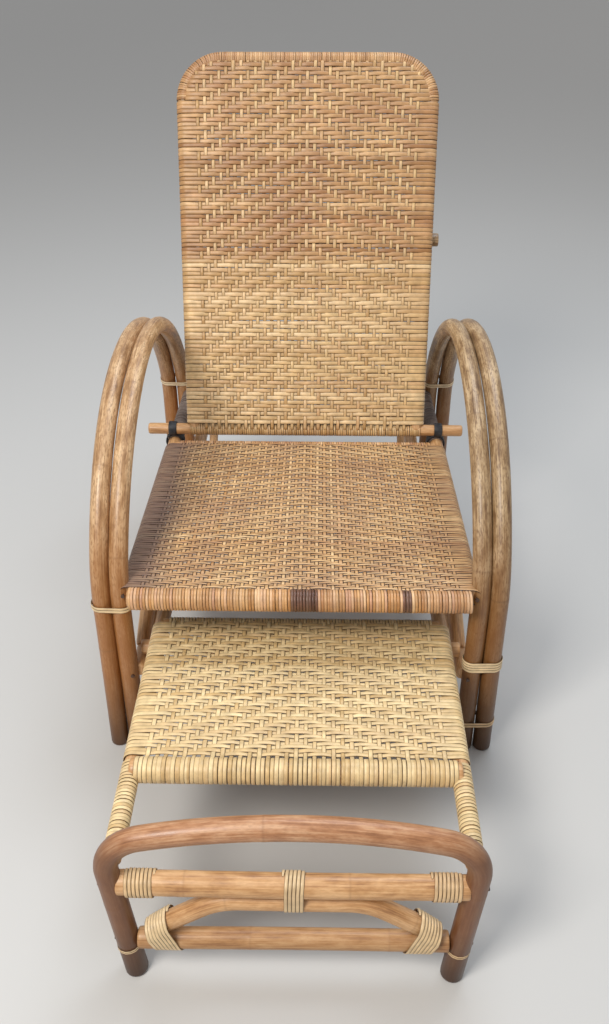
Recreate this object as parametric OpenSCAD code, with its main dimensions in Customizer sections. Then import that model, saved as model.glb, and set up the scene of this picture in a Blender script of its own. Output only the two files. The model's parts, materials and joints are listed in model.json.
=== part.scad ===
// Cane steamer chair: bent arm hoops, a woven seat, a back that reclines on a prop,
// and a woven footrest that slides under the seat.
// X runs across the chair, +Y to the rear and +Z up. Seen from the front, +X is on the right.
// The origin is on the floor, in the middle of the chair's whole length and width.

/* [Arm hoops] */
// Diameter of the bent arm poles
hoop_d = 31.5; // [26:0.5:35]
// Distance from the front leg to the rear leg of a hoop
hoop_depth = 747; // [680:1:820]
// Height of the arm at its middle
arm_h = 610; // [560:1:660]
// Height at which the legs begin to bend
leg_straight_h = 310; // [260:1:340]
// Bend radius where a leg turns into the arm
arm_corner_r = 190; // [140:1:230]
// Half the distance between the inner poles at the front legs
hoop_half_front = 291.5; // [285:0.5:320]
// Half the distance between the inner poles at the rear legs
hoop_half_rear = 275.5; // [270:0.5:285]

/* [Seat] */
// Diameter of the side and rear rails of the seat
rail_d = 26; // [22:1:30]
// Diameter of the front rail of the seat
front_rail_d = 31; // [26:1:34]
// Height of the front rail
seat_h = 341; // [330:1:370]
// How far the front rail lies before the front legs
front_rail_out = 22; // [18:1:32]
// How far the seat's side rails lie inside the hoops
rail_inset = 14.5; // [10:0.5:20]
// Fall of the seat to the rear, in degrees
seat_slope = 0.8; // [0:0.1:3]
// Thickness that the woven cane adds round a rail
weave_t = 3.5; // [2:0.5:5]
// Thickness of the woven sheets
sheet_t = 5; // [3:0.5:8]
// Thickness of the cane wound round the rails behind the seat
whip_t = 3; // [2:0.5:4]

/* [Lower frame] */
// Distance from a leg's middle to the near end of the side arch
arch_leg_gap = 57; // [45:1:80]
// Bend radius of the side arches
side_arch_r = 300; // [200:1:380]
// How far the side arches' ends lie above the middle of the stretcher
side_arch_seat = 7.2; // [5:0.1:10]
// Diameter of the arches
arch_d = 26; // [20:1:28]
// Distance from the front legs to the front cross pole
front_cross_y = 30; // [29:1:45]
// Distance from the front legs to the rear cross pole that carries the slid-in footrest
rear_cross_y = 330; // [250:1:400]
// Height of the low pole between the rear legs
rear_low_h = 130; // [80:1:140]

/* [Back] */
// Distance from the front legs to the hinge bar
hinge_y = 514; // [500:1:530]
// Diameter of the hinge bar
hinge_bar_d = 22.5; // [18:0.5:26]
// Length of the hinge bar
hinge_bar_len = 636; // [600:1:650]
// Lean of the back from upright, in degrees
recline = 25; // [18:1:32]
// Diameter of the back's frame pole
back_d = 26; // [22:1:30]
// Length of the back from the hinge to the middle of its top pole
back_len = 712; // [650:1:760]
// Distance from the middle of a seat rail to the middle of the back's side pole
back_side_gap = 41.5; // [38:0.5:60]
// Outward lean of each side pole, in degrees
back_flare = 1.4; // [0:0.1:2]
// Bend radius of the back's upper corners
back_corner_r = 75; // [55:1:110]
// Thickness of cane round the hinge bar at the foot of the back
back_roll_t = 2.5; // [1.5:0.5:3]

/* [Prop] */
// Diameter of the cross pole behind the back
cross_pole_d = 26; // [22:1:28]
// Distance from the hinge up to the cross pole
cross_pole_up = 380; // [360:1:400]
// How far the cross pole passes the middles of the back's side poles
cross_pole_over = 20; // [6:0.1:24]
// How far the cross pole is set to the right
cross_pole_shift = 10; // [0:1:12]
// How far behind the cross pole the prop's foot bar stands
prop_reach = 160; // [140:1:180]
// Diameter of the prop's legs
prop_leg_d = 20; // [16:1:24]
// Distance from the prop's legs out to the middles of the rack's sides
prop_side_gap = 32; // [26:1:60]
// Diameter of the prop's foot bar
foot_bar_d = 22; // [18:1:24]
// How far the foot bar passes the middles of the rack's sides
foot_bar_over = 18; // [12:1:22]
// Largest tilt of the back either way from where it is drawn, in degrees
tilt_range = 8; // [5:1:10]

/* [Rack] */
// Distance from the middle of an inner rear leg in to the middle of the rack's side
rack_side_gap = 53.5; // [48:0.5:70]
// Diameter of the rack pole
rack_d = 26; // [22:1:28]
// Bend radius of the rack's rear corners
rack_corner_r = 60; // [50:1:100]
// Diameter of the struts below the rack
strut_d = 20; // [16:1:24]

/* [Footrest] */
// Distance from the front legs forward to the footrest's end frame
end_frame_out = 441; // [400:1:480]
// Diameter of the end frame's pole
end_frame_d = 33; // [28:1:36]
// Height of the end frame at its middle
end_frame_h = 306; // [298:1:310]
// Half the distance between the end frame's feet
end_foot_half = 224; // [218:1:230]
// Outward lean of the end frame's legs, in degrees
end_leg_lean = 5.5; // [4:0.5:6]
// Bend radius of the end frame's corners
end_corner_r = 62; // [50:1:75]
// Slope of the arched top where it meets the corners, in degrees
end_top_slope = 14; // [8:1:16]
// Diameter of the upper cross bar
upper_bar_d = 34; // [28:1:36]
// Height of the upper cross bar
upper_bar_h = 192; // [186:1:198]
// Diameter of the lower cross bar
lower_bar_d = 30; // [24:1:32]
// Height of the lower cross bar
lower_bar_h = 74; // [66:1:80]
// Diameter of the small arch between the cross bars
small_arch_d = 28; // [22:1:30]
// Half the length of the small arch
small_arch_half = 195; // [180:1:206]
// Bend radius of the small arch, on either side of its flat top
small_arch_r = 90; // [60:1:140]
// Slope of the small arch's ends, in degrees
small_arch_slope = 35; // [25:1:40]
// Depth to which the small arch's ends are notched over the lower cross bar
small_arch_notch = 11; // [6:1:14]
// Diameter of the footrest's side rails
foot_rail_d = 25; // [20:1:28]
// Half the distance between the side rails
foot_rail_half = 239.5; // [232:0.5:242]
// Length of the woven panel between the middles of its front and rear bars
foot_panel_len = 332; // [300:1:360]
// Distance from the front legs back to the panel's rear bar
foot_panel_rear_y = 53; // [45:1:60]
// Length of bare rail behind the panel
foot_tail = 77; // [50:1:85]
// Diameter of the panel's front bar
foot_front_d = 34; // [28:1:36]
// Thickness of cane round the panel's front bar
foot_front_wrap = 4; // [2:0.5:5]

/* [Bindings] */
// Width of a binding strand
strand_w = 4.8; // [3:0.1:5]
// Thickness of a binding strand
strand_t = 2; // [1.5:0.1:2.5]
// Gap from one turn of a binding to the next
turn_gap = 0.5; // [0.45:0.05:0.8]
// Turns round the left pair of front legs
left_turns = 2; // [1:1:4]
// How far the left pair's turns lie below the middle of the front rail
left_binding_drop = 36; // [34:1:90]
// Turns round the right pair of front legs
right_turns = 4; // [1:1:6]
// Turns low on the right pair of front legs
low_turns = 2; // [1:1:4]
// Height of those low turns
low_binding_h = 58; // [30:1:120]
// Turns round each pair of rear legs
rear_turns = 2; // [1:1:3]
// Turns round each end of the upper cross bar
upper_turns = 7; // [3:1:8]
// Turns round each end of the lower cross bar and the arch on it
lower_turns = 7; // [3:1:8]
// Turns round the upper cross bar and the arch below it
centre_turns = 5; // [3:1:8]
// Width of a hinge strap
strap_w = 16; // [12:1:20]
// Thickness of a hinge strap
strap_t = 3.5; // [2:0.5:4]
// Diameter of the nails
nail_d = 2.6; // [2:0.1:3]
// Length of a nail
nail_len = 52; // [45:1:58]
// Diameter of a nail head
nail_head_d = 6; // [4:0.5:8]

/* [Hidden] */
$fn = 64;

// Clearance between pieces that move against each other
run_gap = 0.3;
// Clearance between pieces that are nailed or bound together
joint_gap = 0.15;
// How much thicker a pole is in its bends, on every side
bend_swell = 0.1;
// How far a straight stretch reaches into the bend next to it
run_lap = 2;
// How far a woven sheet lies below the cane on its rails
sheet_drop = 0.4;
// Depth of a nail's head
nail_head_h = 1.4;
// Spare length of a cut, so that it passes its piece
cut = 60;

// Colours, as each piece is weathered
honey_pole = "#b98a52";
dark_pole = "#8a5f38";
pale_cane = "#d8bf86";
seat_cane = "#cfa06c";
back_cane = "#c9a474";
grey_cane = "#8f7b70";
strap_black = "#26282a";
nail_grey = "#6d6a66";

// Radii
hoop_r = hoop_d / 2;
rail_r = rail_d / 2;
front_rail_r = front_rail_d / 2;
arch_r = arch_d / 2;
hinge_r = hinge_bar_d / 2;
back_r = back_d / 2;
cross_r = cross_pole_d / 2;
foot_r = foot_bar_d / 2;
rack_r = rack_d / 2;
end_r = end_frame_d / 2;
upper_r = upper_bar_d / 2;
lower_r = lower_bar_d / 2;
small_arch_pole_r = small_arch_d / 2;
foot_rail_r = foot_rail_d / 2;
foot_front_r = foot_front_d / 2;

// Arm hoops: each stands in an upright plane that turns inwards to the rear
toe_in = atan((hoop_half_front - hoop_half_rear) / hoop_depth);
hoop_run = hoop_depth / cos(toe_in);
hoop_pitch = hoop_d + 2 * bend_swell + 2 * joint_gap;
arm_rise = arm_h - leg_straight_h;
arm_top_r = (pow(hoop_run / 2, 2) - hoop_run * arm_corner_r + pow(arm_rise, 2))
    / (2 * (arm_rise - arm_corner_r));
arm_corner_turn = atan2(arm_top_r - arm_rise, hoop_run / 2 - arm_corner_r);

// Seat
function rail_z(y) = seat_h - (y + front_rail_out) * tan(seat_slope);
function leg_x(y) = hoop_half_front - y * tan(toe_in);
function rail_x(y) = leg_x(y) - rail_inset;
seat_wrap_r = rail_r + weave_t;
whip_r = rail_r + whip_t;
front_rail_half = hoop_half_front - hoop_r - run_gap;
rail_front_y = front_rail_r + joint_gap - front_rail_out + (rail_inset + rail_r) * tan(toe_in);
seat_rear_edge_y = hinge_y - hinge_r - strap_t - 2 * run_gap - 1;
seat_rear_rail_y = seat_rear_edge_y - seat_wrap_r;

// Footrest heights follow the bar that carries it
foot_wrap_r = foot_rail_r + whip_t;
foot_rail_z = upper_bar_h + upper_r + foot_wrap_r + joint_gap;
foot_front_wrap_r = foot_front_r + foot_front_wrap;
foot_front_z = foot_rail_z - foot_wrap_r + foot_front_wrap_r;
foot_panel_front_y = foot_panel_rear_y - foot_panel_len;
foot_tail_y = foot_panel_rear_y + foot_tail;
end_y = -end_frame_out;
whip_end_y = end_y + end_r * 0.9;

// Slope of an arch's straight ends, from half its length, its bend radius and its rise
function arch_turn(half, r, rise) = asin(r / norm([half, r - rise])) - atan2(r - rise, half);

// Lower frame: the cross poles lie on the side stretchers and carry the footrest's rails
cross_pole_z = foot_rail_z - foot_wrap_r - run_gap - rail_r;
stretcher_z = cross_pole_z - rail_d - joint_gap;
side_arch_top_z = rail_z(hoop_depth / 2) + side_arch_r
    - (side_arch_r + seat_wrap_r + arch_r + bend_swell + joint_gap) / cos(seat_slope);
side_arch_half = hoop_run / 2 - arch_leg_gap;
side_arch_end_z = stretcher_z + side_arch_seat;
side_arch_turn = arch_turn(side_arch_half, side_arch_r, side_arch_top_z - side_arch_end_z);
side_arch_leg = (side_arch_half - side_arch_r * sin(side_arch_turn)) / cos(side_arch_turn);

// Back: hinge bar, stiles and cross pole
back_low_w = 2 * (rail_x(hinge_y) - back_side_gap);
stile_x = back_low_w / 2 + cross_pole_up * tan(back_flare);
cross_pole_half = stile_x + cross_pole_over;
hinge_z = rail_z(hinge_y) + (whip_r + run_gap) / cos(seat_slope) + hinge_r;
back_wrap_r = back_r + weave_t;
back_roll_r = hinge_r + back_roll_t;
cross_pole_off = back_wrap_r + cross_r + joint_gap;
back_leg = (back_len - back_corner_r * (1 + sin(back_flare))) / cos(back_flare);
back_corner_x = back_low_w / 2 + back_leg * sin(back_flare) - back_corner_r * cos(back_flare);
function cross_pole_at(tilt) = [
    hinge_y + cross_pole_up * sin(recline + tilt) + cross_pole_off * cos(recline + tilt),
    hinge_z + cross_pole_up * cos(recline + tilt) - cross_pole_off * sin(recline + tilt)
];

// Rack: it lies under the seat's rear rail, and the foot bar rests on its whipping
rack_half = hoop_half_rear - rack_side_gap;
prop_half = rack_half - prop_side_gap;
foot_bar_half = rack_half + foot_bar_over;
rack_z = rail_z(seat_rear_rail_y) - seat_wrap_r - rack_r - joint_gap;
rack_top_z = rack_z + rack_r + whip_t;
rack_front_y = seat_rear_rail_y - seat_wrap_r;
foot_z = rack_top_z + run_gap + foot_r;
prop_len = norm([prop_reach, cross_pole_at(0)[1] - foot_z]);
function prop_lean(tilt) = acos((cross_pole_at(tilt)[1] - foot_z) / prop_len);
function foot_y(tilt) = cross_pole_at(tilt)[0] + prop_len * sin(prop_lean(tilt));
rack_whip_front_y = foot_y(-tilt_range) - 2 * foot_bar_d;
rack_bend_y = foot_y(tilt_range) + foot_r + 3;
rack_end_y = rack_bend_y + rack_corner_r;
rack_cross_z = rack_z - rack_r - rail_r - joint_gap;
prop_loop_in = cross_r + run_gap;
prop_loop_out = prop_loop_in + strap_t;

// End frame of the footrest: straight legs, tight corners and a slightly arched top
end_rise = end_frame_h - end_corner_r * (cos(end_top_slope) + sin(end_leg_lean));
end_reach = end_foot_half - end_corner_r * (cos(end_leg_lean) - sin(end_top_slope));
end_det = cos(end_leg_lean) * sin(end_top_slope) + sin(end_leg_lean) * (1 - cos(end_top_slope));
end_leg = (end_rise * sin(end_top_slope) - end_reach * (1 - cos(end_top_slope))) / end_det;
end_top_r = (cos(end_leg_lean) * end_reach + sin(end_leg_lean) * end_rise) / end_det;
function end_leg_x(z) = end_foot_half + z * tan(end_leg_lean);

// Length that is trimmed off the end frame's legs, so that they stand flat
foot_trim = end_r;

// Small arch between the cross bars
small_arch_top_z = upper_bar_h - upper_r - small_arch_pole_r - joint_gap;
small_arch_end_z = lower_bar_h + lower_r + small_arch_pole_r / cos(small_arch_slope) - small_arch_notch;
small_arch_drop = small_arch_top_z - small_arch_end_z - small_arch_r * (1 - cos(small_arch_slope));
small_arch_leg = small_arch_drop / sin(small_arch_slope);
small_arch_flat = small_arch_half - small_arch_r * sin(small_arch_slope)
    - small_arch_leg * cos(small_arch_slope);

// Bindings
strand_pitch = strand_w + turn_gap;
strand_clear = 0.75;
right_binding_z = stretcher_z + rail_r + strand_w / 2 + joint_gap;
strand_out = strand_clear + strand_t / 2;
loop_rings = 16;

// The whole length, and the shift that puts the origin in its middle
front_end = end_y - end_r;
rear_end = rack_end_y + rack_r;
mid_y = (front_end + rear_end) / 2;

module placed() {
    translate([0, -mid_y, 0]) children();
}

// One side of the chair: Y runs along the hoop, X outwards from the inner pole
module on_side(right) {
    placed() mirror([right ? 0 : 1, 0, 0])
        translate([hoop_half_front, 0, 0]) rotate([0, 0, toe_in]) children();
}

module on_sides() {
    on_side(true) children();
    on_side(false) children();
}

module on_back() {
    placed() translate([0, hinge_y, hinge_z]) rotate([-recline, 0, 0]) children();
}

// The prop, with Z along its legs and the cross pole at the origin
module on_prop() {
    placed() translate([0, cross_pole_at(0)[0], cross_pole_at(0)[1]])
        rotate([prop_lean(0), 0, 0]) children();
}

// Turns Z along X, and X up
module along_bar() {
    rotate(180, [1, 0, 1]) children();
}

module mirrored(right) {
    mirror([right ? 0 : 1, 0, 0]) children();
}

// Straight pole from point a to point b
module pole(d, a, b) {
    v = b - a;
    translate(a) rotate([0, acos(v[2] / norm(v)), atan2(v[1], v[0])]) cylinder(d = d, h = norm(v));
}

// Pole along X, its middle at y and z
module pole_x(d, half, y, z) {
    pole(d, [-half, y, z], [half, y, z]);
}

// Pole bent in the YZ plane. It starts up along Z and bends towards +Y.
// Each run is [length] for a straight stretch or [radius, turn] for a bend.
// Every other run is a little thicker, and the runs beside it reach into it.
module bent_pole(d, runs, i = 0) {
    if (i < len(runs)) {
        size = runs[i][0];
        turn = len(runs[i]) > 1 ? runs[i][1] : 0;
        thick = i % 2 == 1;
        run_d = thick ? d + 2 * bend_swell : d;
        before = thick || i == 0 ? 0 : run_lap;
        after = thick || i == len(runs) - 1 ? 0 : run_lap;
        if (turn > 0) {
            translate([0, size, 0]) rotate([90, 0, -90]) rotate([0, 0, -before / size * 180 / PI])
                rotate_extrude(angle = turn + (before + after) / size * 180 / PI)
                translate([size, 0]) circle(d = run_d);
            translate([0, size * (1 - cos(turn)), size * sin(turn)]) rotate([-turn, 0, 0])
                bent_pole(d, runs, i + 1);
        } else {
            translate([0, 0, -before]) cylinder(d = run_d, h = size + before + after);
            translate([0, 0, size]) bent_pole(d, runs, i + 1);
        }
    }
}

// Strand wound round one pole, or round two that lie side by side.
// The turns climb along Z. The second pole lies towards +X, spread[0] away,
// and spread[1] further for each millimetre of climb.
function turn_point(a, r_near, r_far, spread) =
    let (climb = strand_pitch * a / 360, far = cos(a) > 0)
    [(far ? spread[0] + spread[1] * climb : 0) + (far ? r_far : r_near) * cos(a),
     (far ? r_far : r_near) * sin(a), climb];

function turn_heading(a, r_far, spread) =
    let (climb = strand_pitch / (2 * PI * r_far))
    [climb * spread[1] - sin(a), cos(a), climb];

function winding_rings(turns, r_near, r_far, spread) =
    let (
        step = 360 / loop_rings,
        n = turns * loop_rings,
        p = [for (i = [0 : n]) turn_point((i + 0.5) * step, r_near, r_far, spread)],
        last = (n + 0.5) * step
    )
    concat(
        [[p[0] - strand_w * turn_heading(step / 2, r_far, spread), step / 2]],
        [for (i = [0 : n]) [p[i], (i + 0.5) * step]],
        [[p[n] + strand_w * turn_heading(last, r_far, spread), last]]
    );

// Least distance between the middles of neighbouring turns, less the strand's width
function winding_gap(rings) =
    min([for (i = [0 : len(rings) - 1], j = [i + 1 : len(rings) - 1])
        if (j - i >= loop_rings / 2) norm(rings[j][0] - rings[i][0])]) - strand_w;

module winding(turns, r_near, r_far, spread = [0, 0]) {
    rings = winding_rings(turns, r_near + strand_out, r_far + strand_out, spread);
    echo(turns = turns, least_gap = winding_gap(rings));
    points = [for (r = rings, k = [0 : 5])
        r[0] + strand_t / 2 * cos(60 * k) * [cos(r[1]), sin(r[1]), 0]
        + [0, 0, strand_w / 2 * sin(60 * k) / sin(60)]];
    last = 6 * (len(rings) - 1);
    sides = [for (i = [0 : len(rings) - 2], k = [0 : 5])
        let (a = 6 * i + k, b = 6 * i + (k + 1) % 6)
        each [[a, b + 6, b], [a, a + 6, b + 6]]];
    ends = [for (k = [1 : 4]) each [[0, k, k + 1], [last, last + k + 1, last + k]]];
    polyhedron(points, concat(sides, ends));
}

// Arm hoops
module hoop_line(d) {
    bent_pole(d, [
        [leg_straight_h], [arm_corner_r, arm_corner_turn], [arm_top_r, 180 - 2 * arm_corner_turn],
        [arm_corner_r, arm_corner_turn], [leg_straight_h]
    ]);
}

// Nails go through the inner legs into the rails and stretchers behind or before them
module side_nails(d, head_d) {
    for (z = [rail_z(0), stretcher_z], end = [0, 1]) {
        flip = end == 0 ? 1 : -1;
        y = end == 0 ? -hoop_r : hoop_run + hoop_r;
        height = z == stretcher_z ? z : rail_z(end * hoop_depth);
        translate([-hoop_r / 2, y, height]) rotate([-90 * flip, 0, 0]) {
            cylinder(d = d, h = nail_len, $fn = 24);
            translate([0, 0, -nail_head_h]) cylinder(d = head_d, h = nail_head_h + 2, $fn = 24);
        }
    }
}

module nail_bores() {
    side_nails(nail_d + joint_gap, nail_head_d + joint_gap);
}

module arm_hoop(right, outer) {
    color(outer ? honey_pole : dark_pole) on_side(right) difference() {
        translate([outer ? hoop_pitch : 0, 0, 0]) hoop_line(hoop_d);
        if (!outer) nail_bores();
    }
}

module rail_nails() {
    color(nail_grey) on_sides() side_nails(nail_d, nail_head_d);
}

// Seat
module side_legs_cut() {
    hoop_line(hoop_d + 2 * joint_gap);
}

module front_rail_line(d) {
    pole_x(d, front_rail_half, -front_rail_out, seat_h);
}

module rear_rail_line(d, half) {
    pole_x(d, half, seat_rear_rail_y, rail_z(seat_rear_rail_y));
}

module side_rail_line(d, y0, y1) {
    pole(d, [-rail_inset, y0, rail_z(y0)], [-rail_inset, y1, rail_z(y1)]);
}

module seat_rail(right) {
    color(honey_pole) on_side(right) difference() {
        side_rail_line(rail_d, rail_front_y, hoop_run);
        side_legs_cut();
        nail_bores();
    }
}

module seat_front_rail() {
    color(honey_pole) placed() front_rail_line(front_rail_d);
}

module seat_rear_rail() {
    color(honey_pole) difference() {
        placed() rear_rail_line(rail_d, rail_x(seat_rear_rail_y));
        on_sides() side_rail_line(rail_d + 2 * joint_gap, 0, hoop_run);
    }
}

// Woven seat: a sheet on the rails, and the cane that goes round them
module seat_sheet() {
    front = [rail_x(-front_rail_out), -front_rail_out];
    rear = [rail_x(seat_rear_rail_y), seat_rear_rail_y];
    translate([0, -front_rail_out, seat_h]) rotate([-seat_slope, 0, 0])
        translate([0, front_rail_out, seat_wrap_r - sheet_t - sheet_drop])
        linear_extrude(sheet_t)
        polygon([[-front[0], front[1]], [front[0], front[1]], [rear[0], rear[1]], [-rear[0], rear[1]]]);
}

module seat_panel() {
    color(seat_cane) difference() {
        union() {
            placed() {
                front_rail_line(front_rail_d + 2 * weave_t);
                rear_rail_line(2 * seat_wrap_r, rail_x(seat_rear_rail_y));
                seat_sheet();
            }
            on_sides() side_rail_line(2 * seat_wrap_r, -front_rail_out, seat_rear_edge_y - 1);
        }
        placed() {
            front_rail_line(front_rail_d + 2 * joint_gap);
            rear_rail_line(rail_d + 2 * joint_gap, rail_x(seat_rear_rail_y));
            for (s = [-1, 1]) translate([s * (front_rail_half + cut / 2), -front_rail_out - cut / 2, seat_h])
                cube([cut, cut + 2 * front_rail_out - hoop_r, cut * 2], center = true);
        }
        on_sides() {
            side_rail_line(rail_d + 2 * joint_gap, -cut, hoop_run);
            side_legs_cut();
            nail_bores();
        }
    }
}

// Cane whipped round the side rails between the seat and the rear legs
module rail_whipping(right) {
    start = (seat_rear_edge_y + run_gap) / cos(toe_in) + whip_r * sin(seat_slope)
        + (rail_inset + whip_r) * tan(toe_in);
    color(grey_cane) on_side(right) difference() {
        side_rail_line(2 * whip_r, start, hoop_run - hoop_r);
        side_rail_line(rail_d + 2 * joint_gap, 0, hoop_run);
        side_legs_cut();
    }
}

// Lower frame
module stretcher_line(d) {
    pole(d, [-rail_inset, 0, stretcher_z], [-rail_inset, hoop_run, stretcher_z]);
}

module side_stretcher(right) {
    color(honey_pole) on_side(right) difference() {
        stretcher_line(rail_d);
        side_legs_cut();
        nail_bores();
    }
}

module side_arch(right) {
    color(honey_pole) on_side(right) difference() {
        translate([-rail_inset, arch_leg_gap, side_arch_end_z]) rotate([side_arch_turn - 90, 0, 0])
            bent_pole(arch_d, [
                [side_arch_leg], [side_arch_r, 2 * side_arch_turn], [side_arch_leg]
            ]);
        stretcher_line(rail_d + 2 * joint_gap);
    }
}

module cross_pole(y) {
    color(honey_pole) placed() pole_x(rail_d, leg_x(y) - hoop_r - 2, y, cross_pole_z);
}

module front_cross_pole() {
    cross_pole(front_cross_y);
}

module rear_cross_pole() {
    cross_pole(rear_cross_y);
}

module rear_leg_pole(z) {
    color(honey_pole) difference() {
        placed() pole_x(rail_d, hoop_half_rear, hoop_depth, z);
        on_sides() side_legs_cut();
    }
}

module rear_low_pole() {
    rear_leg_pole(rear_low_h);
}

module rack_cross_pole() {
    rear_leg_pole(rack_cross_z);
}

// Rack: a pole bent to a U that lies flat, with its bend at the rear
module rack() {
    color(honey_pole) placed() translate([-rack_half, rack_front_y, rack_z])
        rotate(-120, [1, 1, 1]) bent_pole(rack_d, [
            [rack_bend_y - rack_front_y], [rack_corner_r, 90], [2 * (rack_half - rack_corner_r)],
            [rack_corner_r, 90], [rack_bend_y - rack_front_y]
        ]);
}

module rack_whipping(right) {
    color(grey_cane) placed() mirrored(right) difference() {
        pole(2 * (rack_r + whip_t), [rack_half, rack_whip_front_y, rack_z], [rack_half, rack_bend_y, rack_z]);
        pole(rack_d + 2 * joint_gap, [rack_half, 0, rack_z], [rack_half, rack_bend_y + cut, rack_z]);
        rear_leg_pole_cut();
    }
}

module rear_leg_pole_cut() {
    pole_x(rail_d + 2 * joint_gap, hoop_half_rear, hoop_depth, rack_cross_z);
}

module rack_strut(right) {
    low = [rack_half, hoop_depth, rear_low_h];
    high = [rack_half, rack_bend_y - 2 * strut_d, rack_z];
    color(honey_pole) placed() mirrored(right) difference() {
        pole(strut_d, low, high);
        pole_x(rail_d + 2 * joint_gap, hoop_half_rear, hoop_depth, rear_low_h);
        pole(2 * (rack_r + whip_t + joint_gap), [rack_half, 0, rack_z], [rack_half, rack_end_y, rack_z]);
    }
}

// Hinge strap: one loop round the hinge bar, one round the side rail below it
module hinge_strap(right) {
    loop_x = rail_x(hinge_y) + 3;
    color(strap_black) difference() {
        union() {
            placed() mirrored(right) translate([loop_x, hinge_y, hinge_z]) rotate([0, 90, 0])
                cylinder(r = hinge_r + run_gap + strap_t, h = strap_w, center = true);
            on_side(right) side_rail_line(2 * (whip_r + strap_t),
                hinge_y - strap_w / 2, hinge_y + strap_w / 2);
        }
        placed() pole_x(hinge_bar_d + 2 * run_gap, hinge_bar_len, hinge_y, hinge_z);
        on_side(right) side_rail_line(2 * (whip_r + joint_gap), 0, hoop_run);
    }
}

// Bindings round the pairs of legs
module leg_binding(right, z, turns) {
    color(pale_cane) on_side(right) translate([0, 0, z])
        winding(turns, hoop_r, hoop_r, [hoop_pitch, 0]);
}

// The rear ones sit just above the rail, where the legs begin to bend
module rear_binding(right) {
    height = rail_z(hoop_depth) + whip_r + rear_turns * strand_pitch + strand_w;
    bend = asin((height - leg_straight_h) / arm_corner_r);
    color(pale_cane) on_side(right)
        translate([0, hoop_run - arm_corner_r * (1 - cos(bend)), height]) rotate([bend, 0, 0])
        translate([0, 0, -rear_turns * strand_pitch / 2])
        winding(rear_turns, hoop_r + bend_swell, hoop_r + bend_swell, [hoop_pitch, 0]);
}

// Back
module back_frame_line(d) {
    translate([-back_low_w / 2, 0, 0]) rotate([0, 0, -90]) rotate([back_flare, 0, 0])
        bent_pole(d, [
            [back_leg], [back_corner_r, 90 + back_flare], [2 * back_corner_x],
            [back_corner_r, 90 + back_flare], [back_leg]
        ]);
}

module hinge_bar_line(d, half) {
    pole_x(d, half, 0, 0);
}

module cross_pole_nail_line(d, head_d) {
    for (s = [-1, 1]) translate([s * stile_x, cross_pole_off + cross_r, cross_pole_up])
        rotate([90, 0, 0]) {
            cylinder(d = d, h = nail_len, $fn = 24);
            translate([0, 0, -nail_head_h]) cylinder(d = head_d, h = nail_head_h + 2, $fn = 24);
        }
}

module cross_pole_nail_bores() {
    cross_pole_nail_line(nail_d + joint_gap, nail_head_d + joint_gap);
}

module back_frame() {
    color(honey_pole) on_back() difference() {
        back_frame_line(back_d);
        hinge_bar_line(hinge_bar_d + 2 * joint_gap, hinge_bar_len);
        cross_pole_nail_bores();
    }
}

module hinge_bar() {
    color(honey_pole) on_back() hinge_bar_line(hinge_bar_d, hinge_bar_len / 2);
}

module back_sheet() {
    leg_x = back_low_w / 2 + back_leg * sin(back_flare);
    leg_z = back_leg * cos(back_flare);
    translate([0, sheet_t + sheet_drop - back_wrap_r, 0]) rotate([90, 0, 0]) linear_extrude(sheet_t) {
        polygon([
            [-back_low_w / 2, 0], [back_low_w / 2, 0], [leg_x, leg_z],
            [back_corner_x, back_len], [-back_corner_x, back_len], [-leg_x, leg_z]
        ]);
        for (s = [-1, 1]) translate([s * back_corner_x, back_len - back_corner_r]) circle(back_corner_r);
    }
}

module back_panel() {
    color(back_cane) on_back() difference() {
        union() {
            back_frame_line(2 * back_wrap_r);
            hinge_bar_line(2 * back_roll_r, back_low_w / 2 + back_r);
            back_sheet();
        }
        back_frame_line(back_d + 2 * joint_gap);
        hinge_bar_line(hinge_bar_d + 2 * joint_gap, hinge_bar_len);
        translate([0, 0, -back_roll_r - cut / 2])
            cube([2 * back_low_w, 4 * back_wrap_r, cut], center = true);
        cross_pole_nail_bores();
    }
}

module back_cross_pole() {
    color(honey_pole) on_back() difference() {
        translate([cross_pole_shift, cross_pole_off, cross_pole_up]) rotate([0, 90, 0])
            cylinder(d = cross_pole_d, h = 2 * cross_pole_half, center = true);
        cross_pole_nail_bores();
    }
}

module cross_pole_nails() {
    color(nail_grey) on_back() cross_pole_nail_line(nail_d, nail_head_d);
}

// Prop
module foot_bar_line(d) {
    rotate([0, 90, 0]) translate([prop_len, 0, -foot_bar_half]) cylinder(d = d, h = 2 * foot_bar_half);
}

module prop_loop_line(right, d) {
    mirrored(right) translate([prop_half, 0, 0]) rotate([0, 90, 0])
        cylinder(d = d, h = strap_w, center = true);
}

module prop_leg(right) {
    color(honey_pole) on_prop() difference() {
        mirrored(right) translate([prop_half, 0, -prop_len]) cylinder(d = prop_leg_d, h = prop_len);
        prop_loop_line(right, 2 * (prop_loop_out + joint_gap));
        foot_bar_line(foot_bar_d + 2 * joint_gap);
        mirrored(right) translate([prop_half, 0, 0])
            cube([2 * prop_leg_d, 2 * prop_loop_out, 2 * prop_loop_out], center = true);
    }
}

module prop_loop(right) {
    color(pale_cane) on_prop() difference() {
        union() {
            prop_loop_line(right, 2 * prop_loop_out);
            mirrored(right) translate([prop_half, 0, -prop_loop_out - 14])
                cylinder(d = prop_leg_d + 2 * strap_t, h = prop_loop_out);
        }
        prop_loop_line(right, 2 * prop_loop_in);
        mirrored(right) translate([prop_half, 0, -prop_len])
            cylinder(d = prop_leg_d + 2 * joint_gap, h = prop_len - prop_loop_out + 1);
    }
}

module prop_foot_bar() {
    color(honey_pole) on_prop() foot_bar_line(foot_bar_d);
}

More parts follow.
